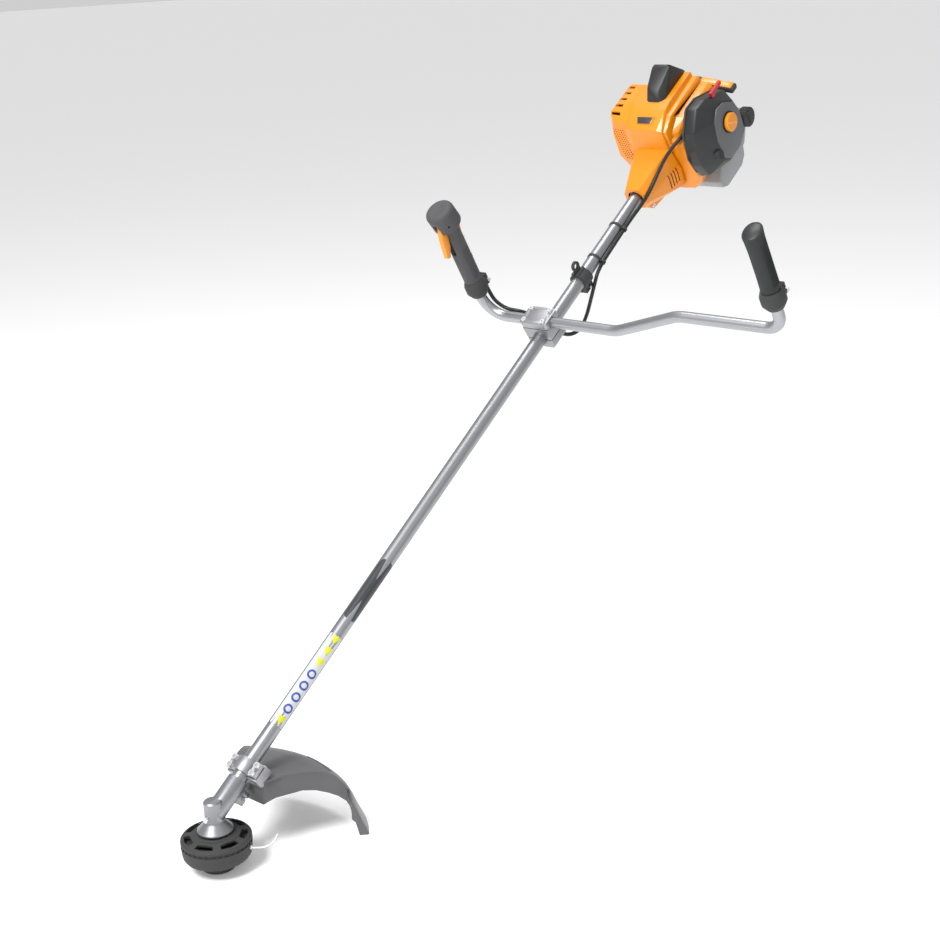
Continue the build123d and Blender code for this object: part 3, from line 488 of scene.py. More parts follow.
    @classmethod
    def conduit(cls) -> bpy.types.NodeTree:
        """A tube with raised ribs along a curve."""
        known = bpy.data.node_groups.get("ribbed_conduit")
        if known:
            return known
        tree, given = cls._tree("ribbed_conduit", {"Pitch": "NodeSocketFloat", "Core Radius": "NodeSocketFloat",
                                                   "Rib Radius": "NodeSocketFloat", "Material": "NodeSocketMaterial"})
        spaced = add(tree, "GeometryNodeResampleCurve", {"mode": "LENGTH"},
                     {"Curve": given.outputs["Geometry"], "Length": given.outputs["Pitch"]})
        core = add(tree, "GeometryNodeCurvePrimitiveCircle", {"Resolution": 14},
                   {"Radius": given.outputs["Core Radius"]})
        tube = add(tree, "GeometryNodeCurveToMesh", {"Fill Caps": True},
                   {"Curve": spaced.outputs[0], "Profile Curve": core.outputs[0]})
        loop = add(tree, "GeometryNodeCurvePrimitiveCircle", {"Resolution": 14},
                   {"Radius": given.outputs["Core Radius"]})
        wire = add(tree, "GeometryNodeCurvePrimitiveCircle", {"Resolution": 6}, {"Radius": given.outputs["Rib Radius"]})
        rib = add(tree, "GeometryNodeCurveToMesh", links={"Curve": loop.outputs[0], "Profile Curve": wire.outputs[0]})
        points = add(tree, "GeometryNodeCurveToPoints", {"mode": "EVALUATED"}, {"Curve": spaced.outputs[0]})
        copies = add(tree, "GeometryNodeInstanceOnPoints",
                     links={"Points": points.outputs[0], "Instance": rib.outputs[0],
                            "Rotation": points.outputs["Rotation"]})
        both = add(tree, "GeometryNodeJoinGeometry", links={0: tube.outputs[0]})
        tree.links.new(copies.outputs[0], both.inputs[0])
        cls._end(tree, given, both.outputs[0])
        return tree

    @staticmethod
    def bake(piece: bpy.types.Object, tree: bpy.types.NodeTree, finish: Finish, inputs: dict) -> bpy.types.Object:
        """Run a tree on a piece and keep the result as its plain mesh.

        Args:
            piece: The template, the points or the curve that the tree starts from.
            tree: The tree.
            finish: The material that the tree sets.
            inputs: The tree's other inputs by name.

        Returns:
            A mesh object of the same name.
        """
        step = piece.modifiers.new("repeat", "NODES")
        step.node_group = tree
        for item in tree.interface.items_tree:
            if item.in_out == "INPUT" and item.name in inputs:
                step[item.identifier] = inputs[item.name]
            if item.in_out == "INPUT" and item.name == "Material":
                step[item.identifier] = finish.make()
        piece.update_tag()
        bpy.context.view_layer.update()
        data = bpy.data.meshes.new_from_object(piece.evaluated_get(bpy.context.evaluated_depsgraph_get()))
        name = piece.name
        bpy.data.objects.remove(piece)
        return settle(placed(name, data))


def screw_heads(name: str, where: Matrix, spots: list[tuple[Point, Point]], radius: float, height: float,
                finish: Finish = ZINC) -> bpy.types.Object:
    """Screw heads at (place, facing) pairs in a local frame, sizes in millimetres."""
    data = bpy.data.meshes.new(name)
    data.from_pydata([where @ Vector(spot) for spot, _ in spots], [], [])
    facing = data.attributes.new("facing", "FLOAT_VECTOR", "POINT")
    turn = where.to_3x3().normalized()
    for i, (_, way) in enumerate(spots):
        facing.data[i].vector = turn @ Vector(way)
    return Repeats.bake(placed(name, data), Repeats.screws(), finish,
                        {"Head Radius": radius * MM, "Head Height": height * MM, "Socket Radius": radius * 0.5 * MM})


def route_curve(name: str, where: Matrix, points: list[Point], radius: float) -> bpy.types.Object:
    """A smooth NURBS curve with the given control points, in a local frame, thickened to a radius in millimetres."""
    data = bpy.data.curves.new(name, "CURVE")
    data.dimensions = "3D"
    data.bevel_depth = radius * MM
    data.bevel_resolution = 4
    data.use_fill_caps = True
    data.resolution_u = 12
    spline = data.splines.new("NURBS")
    spline.points.add(len(points) - 1)
    for held, point in zip(spline.points, points):
        held.co = (where @ Vector(point)).to_4d()
    spline.order_u = 3
    spline.use_endpoint_u = True
    return placed(name, data)


# ---------------------------------------------------------------- stage
@dataclass
class Stage:
    """Floor, light and camera."""
    floor_height: float = -0.8003
    eye: Point = (-2.38051, -1.85972, 0.55869)
    ahead: Point = (0.708642, 0.639129, -0.298898)
    above: Point = (0.254276, 0.163826, 0.953155)
    lens: float = 62.894
    sensor: float = 36.0

    def set_camera(self) -> None:
        """Place the camera."""
        data = bpy.data.cameras.new("camera")
        data.lens = self.lens
        data.sensor_width = self.sensor
        data.clip_end = 200
        camera = placed("camera", data)
        ahead, above = Vector(self.ahead).normalized(), Vector(self.above).normalized()
        right = ahead.cross(above).normalized()
        above = right.cross(ahead)
        turn = Matrix((right, above, -ahead)).transposed().to_4x4()
        camera.matrix_world = Matrix.Translation(self.eye) @ turn
        bpy.context.scene.camera = camera

    def lay_floor(self) -> None:
        """Lay a wide pale floor."""
        data = bpy.data.meshes.new("floor")
        reach = 60.0
        z = self.floor_height
        data.from_pydata([(-reach, -reach, z), (reach, -reach, z), (reach, reach, z), (-reach, reach, z)], [],
                         [(0, 1, 2, 3)])
        data.materials.append(Finish("pale_floor", "#FAFAFA", 0.85, grain=6.0, depth=0.0, drift=0.0, glow=0.14).make())
        placed("floor", data)

    def light(self) -> None:
        """Set an even white sky and three soft lamps."""
        world = bpy.data.worlds.new("studio")
        world.use_nodes = True
        sky = world.node_tree.nodes["Background"]
        sky.inputs["Color"].default_value = (1, 1, 1, 1)
        sky.inputs["Strength"].default_value = 0.62
        bpy.context.scene.world = world
        bpy.context.scene.view_settings.view_transform = "Standard"
        lamps = (("key", (-3.4, -0.2, 3.0), 1.5, 190), ("front", (-1.0, -3.4, 1.9), 1.8, 8),
                 ("top", (0.2, 0.9, 3.6), 1.6, 60))
        for name, place, size, power in lamps:
            data = bpy.data.lights.new(name, "AREA")
            data.shape = "DISK"
            data.size = size
            data.energy = power
            lamp = placed(name, data)
            lamp.location = place
            lamp.rotation_euler = (Vector((-0.1, -0.1, -0.1)) - Vector(place)).to_track_quat("-Z", "Y").to_euler()

    def build(self) -> None:
        """Set up the whole stage."""
        self.set_camera()
        self.lay_floor()
        self.light()


# ---------------------------------------------------------------- line head
@dataclass
class LineHead:
    """The bump-feed head with its knob and the two line ends."""
    radius: float = 56.4
    top: float = -29.0
    split: float = -46.0
    bottom: float = -71.0
    line_radius: float = 1.2
    spring_travel: float = 4.2

    def polar(self, angle: float, distance: float, height: float) -> Point:
        """A point about the head's axis, its angle in degrees from +X."""
        return (distance * math.cos(math.radians(angle)), distance * math.sin(math.radians(angle)), height)

    def build_cover(self) -> None:
        """Make the domed cover with its rolled rim, ring of windows and raised hub."""
        r, t = self.radius, self.top
        outline = [(4.1, t), (30, t), (31.5, t - 1.4), (39, t - 2.2), (40, t - 3.4), (r - 6, t - 5.6), (r - 2, t - 6.6),
                   (r, t - 9),
                   (r, t - 13), (r - 1.6, t - 14.4), (r - 1.6, self.split), (r - 3, self.split), (r - 3, t - 10),
                   (38, t - 6), (31, t - 3), (4.1, t - 3), (4.1, t)]
        cover = Shape().turned(outline, 144).object("head_cover_skin", HEAD, HEAD_NYLON)
        window = Shape().hull([self.polar(a, d, h) for a in (-18, 18) for d in (41.5, 50.5) for h in (t - 9, t + 2)] +
                              [self.polar(0, 51.5, h) for h in (t - 9, t + 2)]).object("window", HEAD, PAINTED_HOLE_SHADE)
        window.data.transform(HEAD.inverted())
        ring = Repeats.bake(window, Repeats.ring(), PAINTED_HOLE_SHADE, {"Count": 7, "Turn": math.tau / 7})
        ring.data.transform(HEAD)
        combine(cover, ring, "DIFFERENCE")
        settle(cover)
        show(cover, "line_head", "head_nylon", "head_cover")
        rib = Shape().hull([self.polar(*spot) for spot in corners((-1.6, 1.6), (r - 2.4, r + 0.2),
                                                                  (t - 14, self.split + 0.5))])
        ribs = rib.object("cover_grip_ribs", Matrix.Identity(4), HEAD_NYLON)
        ribs = Repeats.bake(ribs, Repeats.ring(), HEAD_NYLON, {"Count": 36, "Turn": math.tau / 36})
        ribs.data.transform(HEAD)
        show(ribs, "line_head", "head_nylon")

    def build_base(self) -> None:
        """Make the lower shell with its seam, and keep the eyelets."""
        r = self.radius
        outline = [(r, self.split - 0.4), (r + 0.2, self.split - 3), (r, self.split - 4), (r - 0.8, -60), (r - 2, -66),
                   (r - 5, self.bottom + 0.6),
                   (r - 7, self.bottom), (30.7, self.bottom), (30.7, self.bottom + 3), (r - 7, self.bottom + 3),
                   (r - 3.4, -64), (r - 3.2, self.split - 0.4), (r, self.split - 0.4)]
        base = Shape().turned(outline, 144).object("head_base_skin", HEAD, HEAD_NYLON)
        for angle in (-62, 118):
            ring = [self.polar(angle, d, 0) for d in (r - 12, r + 12)]
            side = Vector(self.polar(angle + 90, 1, 0))
            hole = Shape().loft([[tuple(Vector(p) + side * 5.5 * math.cos(a) + Vector((0, 0, -53 + 4.2 * math.sin(a))))
                                  for a in [math.tau * i / 24 for i in range(24)]] for p in ring])
            combine(base, hole.object("hole", HEAD, PAINTED_HOLE_SHADE), "DIFFERENCE")
        show(base, "line_head", "head_nylon", "head_base")
        dress(ZINC, "line_eyelets")

    def build_knob(self) -> None:
        """Make the bump knob with its worn, softly rounded foot."""
        outline = [(0, -92), (22, -92), (26.5, -90.8), (29, -88), (30, -84), (30, -62.5), (10, -62.5), (0, -74)]
        knob = Shape().turned(outline, 96).object("bump_knob_skin", HEAD, BLACK_NYLON)
        show(settle(knob), "bump_spool", "head_nylon", "bump_knob")
        dress(BLACK_NYLON, "line_spool")
        coil = settle(copied("head_spring", "head_spring_coil", SPRING))
        show(coil, "line_head", "spring_steel", "head_spring")
        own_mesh(coil)

    def build_line(self) -> None:
        """Make the two ends of cutting line."""
        r = self.radius
        routes = {
            "line_end_right": [(118, r + 1.5, -53), (119, 66, -52.5), (125, 76, -52.0), (136, 85, -54.0),
                               (147, 90, -60.0)],
            "line_end_left": [(-62, r + 1.5, -53), (-61, 68, -53.5), (-56, 80, -54.5), (-46, 90, -54.0),
                              (-35, 96, -52.0)],
        }
        for name, route in routes.items():
            points = [self.polar(*spot) for spot in route]
            line = route_curve(f"{name}_strand", HEAD, points, self.line_radius)
            line.data.materials.append(LINE_NYLON.make())
            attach(line, "line_head")
            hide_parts(name)

    def build(self) -> None:
        """Build the head."""
        self.build_line()
        self.build_cover()
        self.build_base()
        self.build_knob()


# ---------------------------------------------------------------- gearbox and guard
class Gearbox:
    """The angled gearbox at the foot of the tube."""

    def build(self) -> None:
        """Soften the casting and dress the drive parts."""
        show(softened("gearbox_housing", 0.9, CASTING), "frame", "cast_aluminium", "gearbox_housing")
        dress(MACHINED, "bevel_gear", "bevel_pinion", "output_spindle", "drive_shaft", "shaft_bearings")


@dataclass
class Guard:
    """The debris guard, a hood that rolls over into a flared skirt, with its clamp bracket."""
    hood: tuple = ((84, 34), (120, 33), (150, 31), (172, 27.5), (190, 23), (203, 17), (212, 9), (216.06, 4.4),
                   (216.6, 3.8), (219, 1), (224, -9), (230, -26), (236, -40), (241, -52))
    near_edge: tuple = ((78, -33), (88, -33), (100, -34), (120, -44), (140, -54), (158, -65), (174, -77), (182, -91),
                        (185, -107), (179, -121), (170.5, -133.2), (160, -145.6), (150.5, -155.4), (154, -159),
                        (157, -163), (162.5, -168.3), (166.5, -172.5))
    wall_foot: tuple = ((76, -5), (100, -3), (160, 0), (185, -10), (205, -17), (214, -22), (222, -30), (226, -52),
                        (245, -52))
    start: float = -46.0
    sweep: float = 80.0
    wall: float = 3.0

    @staticmethod
    def between(spots: tuple, radius: float) -> float:
        """The height at a radius along (radius, height) points."""
        if radius <= spots[0][0]:
            return spots[0][1]
        for (r0, h0), (r1, h1) in zip(spots, spots[1:]):
            if radius <= r1:
                return h0 + (h1 - h0) * (radius - r0) / (r1 - r0)
        return spots[-1][1]

    def near_angle(self, radius: float) -> float:
        """Where the hood's near edge stands at a distance from the head's axis, in degrees."""
        spots = [(math.hypot(x, y), math.degrees(math.atan2(y, x))) for x, y in self.near_edge[2:10]]
        if radius <= spots[0][0]:
            return math.degrees(math.asin(-34 / radius)) if radius > 40 else -24
        for (r0, a0), (r1, a1) in zip(spots, spots[1:]):
            if r0 <= radius <= r1:
                return a0 + (a1 - a0) * (radius - r0) / (r1 - r0)
        last = spots[-1]
        return last[1] + (self.start - last[1]) * min(1.0, (radius - last[0]) / 0.4)

    def build_hood(self) -> None:
        """Make the hood and skirt as one smooth sheet."""
        columns = 48
        rows = []
        for radius, height in self.hood:
            near = self.near_angle(radius)
            far = self.start + self.sweep - max(0.0, (150 - radius)) * 0.12
            row = []
            for i in range(columns + 1):
                share = i / columns
                angle = math.radians(near + (far - near) * share)
                row.append((radius * math.cos(angle), radius * math.sin(angle), height))
            rows.append(row)
        shape = Shape()
        verts = [[shape.mesh.verts.new(p) for p in row] for row in rows]
        for low, high in zip(verts, verts[1:]):
            for i in range(columns):
                shape.mesh.faces.new((low[i], high[i], high[i + 1], low[i + 1]))
        hood = shape.object("guard_hood", HEAD, SHIELD)
        if hood.data.polygons[0].normal.z < 0:
            hood.data.flip_normals()
        solid = hood.modifiers.new("wall", "SOLIDIFY")
        solid.thickness = self.wall * MM
        solid.offset = -1
        solid.use_even_offset = True
        settle(hood)
        round_edges(hood, 0.7, 50)
        show(hood, "frame", "guard_plastic", "guard", "guard_skirt")

    def build_wall(self) -> None:
        """Make the wall under the near edge, which deepens and blends into the leg."""
        spots = [(math.hypot(x, y), x, y) for x, y in self.near_edge]
        tops = [self.between(self.hood, radius) - 0.4 for radius, _, _ in spots]
        lows = [self.between(self.wall_foot, radius) for radius, _, _ in spots]
        rings = []
        for (_, x, y), high, low in zip(spots, tops, lows):
            rings.append([(x, y, high), (x + 1.2, y + 2.4, high), (x - 0.6, y + 1.2, low), (x - 1.8, y - 1.2, low)])
        wall = Shape().loft(rings).object("guard_near_wall", HEAD, SHIELD)
        show(round_edges(wall, 0.5, 50), "frame", "guard_plastic")
        front = Shape().hull(corners((74, 77), (-33.5, 33.5), (-5, 27))).object("guard_front_wall", HEAD, SHIELD)
        show(round_edges(front, 0.8, 40), "frame", "guard_plastic")

    def build_arc(self) -> None:
        """Lay a short raised line near the outer edge."""
        radius, from_angle, to_angle, slope = 201, -20, -1, 0.55
        height = self.between(self.hood, radius)
        rings = []
        for i in range(37):
            angle = math.radians(from_angle + (to_angle - from_angle) * i / 36)
            rings.append([((radius + d) * math.cos(angle), (radius + d) * math.sin(angle), height - slope * d + z)
                          for d, z in ((-2.6, -1), (-1.4, 1.0), (1.4, 1.0), (2.6, -1))])
        arc = Shape().loft(rings).object("guard_arc_0", HEAD, SHIELD)
        show(settle(arc), "frame", "guard_plastic")

    def build_tab(self) -> None:
        """Make the tab that holds the cutter at the far end."""
        far = HEAD @ Matrix.Rotation(math.radians(self.start + self.sweep), 4, "Z")
        tab = Shape().hull([(x, y, z) for x, z in ((202, -50), (202, -18), (208, -14), (227, -14),
                                                   (238, -50)) for y in (-3.2, -0.2)])
        show(round_edges(tab.object("guard_tab", far, SHIELD), 0.6, 40), "frame", "guard_plastic")
        dress(ZINC, "line_cutter")

    def build_bracket(self) -> None:
        """Soften the bracket's castings."""
        show(softened("guard_bracket", 0.8, PALE_CASTING), "frame", "cast_aluminium", "guard_bracket")

    def build(self) -> None:
        """Build the guard."""
        self.build_hood()
        self.build_wall()
        self.build_arc()
        self.build_tab()
        self.build_bracket()


# ---------------------------------------------------------------- tube
@dataclass
class MainTube:
    """The tube with its printed labels, ties and harness clamp."""
    radius: float = 13.0
    facing: float = 128.0
    label_from: float = 168.0
    label_to: float = 352.0
    band_from: float = 384.0
    band_to: float = 508.0

    def wrapped(self, name: str, outline: list[Flat], lift: float, finish: Finish, rings: int = 6) -> bpy.types.Object:
        """Wrap a flat outline round the tube.

        Args:
            name: The piece's name.
            outline: Points (along the tube, round it) in millimetres, about which the shape is convex.
            lift: How far it stands off the tube.
            finish: What it is printed in.
            rings: How finely it is divided.

        Returns:
            The wrapped patch.
        """
        middle = (sum(p[0] for p in outline) / len(outline), sum(p[1] for p in outline) / len(outline))
        shape = Shape()
        radius = self.radius + lift

        def on_tube(u: float, v: float) -> Point:
            angle = math.radians(self.facing) + v / self.radius
            return (u, radius * math.cos(angle), radius * math.sin(angle))

        rows = [[shape.mesh.verts.new(on_tube(middle[0] + (u - middle[0]) * k / rings,
                                              middle[1] + (v - middle[1]) * k / rings))
                 for u, v in outline] for k in range(1, rings + 1)]
        hub = shape.mesh.verts.new(on_tube(*middle))
        count = len(outline)
        for i in range(count):
            shape.mesh.faces.new((hub, rows[0][i], rows[0][(i + 1) % count]))
        for low, high in zip(rows, rows[1:]):
            for i in range(count):
                j = (i + 1) % count
                shape.mesh.faces.new((low[i], high[i], high[j], low[j]))
        patch = shape.object(name, SHAFT, finish)
        centre = SHAFT @ Vector((middle[0], 0, 0))
        face = patch.data.polygons[0]
        if (face.center - centre).dot(face.normal) < 0:
            patch.data.flip_normals()
        film = patch.modifiers.new("film", "SOLIDIFY")
        film.thickness = LABEL_FILM_MM * MM
        film.offset = -1
        return settle(patch, 60)

    @staticmethod
    def rounded(u0: float, u1: float, half: float, corner: float, shift: float = 0.0) -> list[Flat]:
        """A rectangle's outline with round corners and points along its sides."""
        spots = []
        for cu, cv, start in ((u1 - corner, half - corner, 0), (u0 + corner, half - corner, 90),
                              (u0 + corner, -half + corner, 180), (u1 - corner, -half + corner, 270)):
            spots += [(cu + corner * math.cos(math.radians(start + a)),
                       cv + corner * math.sin(math.radians(start + a)) + shift) for a in range(0, 91, 15)]
        full = []
        for a, b in zip(spots, spots[1:] + spots[:1]):
            steps = max(1, int(math.dist(a, b) / 6))
            full += [(a[0] + (b[0] - a[0]) * k / steps, a[1] + (b[1] - a[1]) * k / steps) for k in range(steps)]
        return full

    def build_labels(self) -> None:
        """Print a plain dark band and a pale strip with plain coloured marks."""
        pieces = [self.wrapped("band_label", self.rounded(self.band_from, self.band_to, 14, 9, 3), 0.12, LABEL_GREY),
                  self.wrapped("strip_label_rim", self.rounded(self.label_from, self.label_to, 14.5, 4, 2), 0.10,
                               LABEL_BLACK),
                  self.wrapped("strip_label", self.rounded(self.label_from + 1.2, self.label_to - 1.2, 13.4, 3, 2),
                               0.20, LABEL_PALE)]
        pitch = (self.label_to - self.label_from) / 8
        for index in range(8):
            centre = self.label_from + pitch * (index + 0.5)
            if index in (0, 5, 6, 7):
                tips = [(centre + 8.0, 4.0 + 8.0), (centre + 8.0, 4.0 - 8.0), (centre - 8.0, 4.0)]
                outline = []
                for a, b in zip(tips, tips[1:] + tips[:1]):
                    outline += [(a[0] + (b[0] - a[0]) * k / 5, a[1] + (b[1] - a[1]) * k / 5) for k in range(5)]
                pieces.append(self.wrapped(f"strip_mark_{index}", outline, 0.30, LABEL_YELLOW, 3))
            else:
                outline = [(centre + 8.2 * math.cos(math.tau * k / 28),
                            4 + 8.2 * math.sin(math.tau * k / 28)) for k in range(28)]
                pieces.append(self.wrapped(f"strip_mark_{index}", outline, 0.30, LABEL_BLUE, 3))
                inner = [(centre + 4.6 * math.cos(math.tau * k / 20),
                          4 + 4.6 * math.sin(math.tau * k / 20)) for k in range(20)]
                pieces.append(self.wrapped(f"strip_disc_{index}", inner, 0.38, LABEL_PALE, 2))
        for piece in pieces:
            show(piece, "frame", "tube_aluminium")

    def build(self) -> None:
        """Dress the tube, its ties and the harness clamp."""
        dress(TUBE, "drive_tube")
        dress(BLACK_NYLON, "cable_ties")
        self.build_labels()
        show(softened("harness_clamp", 0.7, BLACK_NYLON), "frame", "black_nylon", "harness_clamp")


# ---------------------------------------------------------------- handlebar
@dataclass
class Handlebar:
    """The bull-horn bar with its clamp, left grip and throttle handle."""
    left: float = -522.0
    right: float = 123.0
    rise: float = 53.7
    low: float = 82.0
    top: float = 201.0

    def build_left_grip(self) -> None:
        """Make the rubber grip: a plain shaft, a flared slanting cap and a patch of ribs."""
        base = self.rise + self.low
        peak = self.rise + self.top
        rows = ((12.0, 15.0, base, 0), (15.4, 15.4, base + 1, 0), (16.4, 16.2, base + 4, 0), (16.0, 15.6, base + 34, 0),
                (16.6, 15.8, peak - 40, 0),
                (18.6, 16.6, peak - 14, 0.1), (19.6, 17.0, peak - 6.5, 0.22), (19.4, 16.9, peak - 4.0, 0.24),
                (18.2, 15.8, peak - 2.6, 0.25), (16.8, 14.6, peak - 3.2, 0.25))
        rings = []
        for long, wide, height, slant in rows:
            ring = [(long * math.cos(math.tau * i / 64), wide * math.sin(math.tau * i / 64)) for i in range(64)]
            rings.append([(x * 0.98, y, min(peak, height + slant * (x - 6))) for x, y in ring])
        stand = BAR @ Matrix.Translation((0, self.left, 0))
        piece = Shape().loft(rings).object("left_grip_rubber", stand, RUBBER)
        bore = Shape().turned([(0, base - 5), (10.05, base - 5), (10.05, peak - 14), (0, peak - 14)], 48)
        combine(piece, bore.object("left_grip_bore", stand, RUBBER), "DIFFERENCE")
        show(settle(piece, 34), "frame", "grip_rubber", "left_grip")
        turns = [math.tau * i / 64 for i in range(64)]
        cap = Shape().loft([[(k * 16.4 * math.cos(a), k * 14.2 * math.sin(a),
                              peak - 3.2 + 0.25 * (k * 16.4 * math.cos(a) - 6) + z)
                             for a in turns] for k, z in ((1, -0.8), (1, 0.2), (0.96, 0.6))])
        show(settle(cap.object("left_grip_cap", stand, DARK_ABS), 40), "frame", "grip_rubber")
        self.build_ribs("left_grip_ribs", self.left, base + 12, 26, "grip_rubber")

    def build_ribs(self, name: str, across: float, start: float, count: int, slot: str) -> None:
        """Make a patch of short ribs down a grip's side."""
        turns = [math.radians(angle) for angle in range(-122, -53, 4)]
        rings = [[(r * math.cos(a), r * math.sin(a), z) for r, z in ((16.0, -1.2), (17.0, -0.7), (17.0, 0.7),
                                                                     (16.0, 1.2))] for a in turns]
        rib = Shape().loft(rings).object(name, Matrix.Identity(4), RUBBER)
        ribs = Repeats.bake(rib, Repeats.row(), RUBBER, {"Count": count, "Step": (0, 0, 3.6)})
        ribs.data.transform(BAR @ Matrix.Translation((0, across, start)))
        show(ribs, "frame", slot)

    def build(self) -> None:
        """Build the bar and all it carries."""
        dress(BENT_TUBE, "handlebar")
        show(softened("bar_clamp_base", 0.8, CASTING), "frame", "cast_aluminium", "bar_clamp_base")
        show(softened("bar_clamp_cover", 0.9, PALE_CASTING), "frame", "cast_aluminium", "bar_clamp_cover")
        show(softened("grip_collars", 0.7, BLACK_NYLON), "frame", "black_nylon", "grip_collars")
        self.build_left_grip()
        for half in ("throttle_housing_inner", "throttle_housing_outer"):
            show(softened(half, 0.6, THROTTLE_NYLON), "frame", "throttle_nylon", half)
        self.build_ribs("right_grip_ribs", self.right, self.low + 12, 18, "throttle_nylon")
        show(softened("throttle_trigger", 0.6, AMBER_TRIM), "trigger", "amber_plastic", "throttle_trigger")
        show(softened("lockout_lever", 0.6, AMBER_TRIM), "lockout", "amber_plastic", "lockout_lever")
        dress(BLACK_NYLON, "stop_switch")


@dataclass
class ThrottleCable:
    """The throttle cable's ribbed conduit, from the carburettor to the right grip."""
    pitch: float = 3.2
    core: float = 3.3
    rib: float = 0.75
    route: tuple = ((1558.5, -67, 56), (1538, -69, 60), (1514, -66, 60), (1491, -51, 49), (1468, -39, 34),
                    (1443, -31, 18),
                    (1414, -26.5, 6), (1388, -22.5, 1), (1352, -18.2, -1.0), (1298, -17.4, -3.0), (1222, -17.5, -5.0),
                    (1198, -15.5, -22), (1178, -7, -46), (1157, -1, -67), (1130, 4, -79), (1104, 10, -67),
                    (1091, 18, -42), (1085, 30, -15))
    bar_route: tuple = ((27, 44, -14), (18, 62, 1), (14.5, 83.7, 4), (14.5, 102.5, 14.7), (14.5, 113.5, 33.3),
                        (14.5, 113.5, 75))

    def build(self) -> None:
        """Make the conduit along its smooth route."""
        to_shaft = SHAFT.inverted() @ BAR
        points = list(self.route) + [tuple(to_shaft @ Vector(p)) for p in self.bar_route]
        line = route_curve("throttle_conduit", SHAFT, points, 0)
        line.data.resolution_u = 16
        path = bpy.data.meshes.new_from_object(line.evaluated_get(bpy.context.evaluated_depsgraph_get()))
        spots = [v.co.copy() for v in path.vertices]
        length = sum((b - a).length for a, b in zip(spots, spots[1:]))
        conduit = Repeats.bake(line, Repeats.conduit(), CONDUIT,
                               {"Pitch": self.pitch * MM, "Core Radius": self.core * MM, "Rib Radius": self.rib * MM})
        show(conduit, "frame", "grip_rubber", "throttle_cable")
        log.info("throttle conduit, %.0f mm long", length / MM)


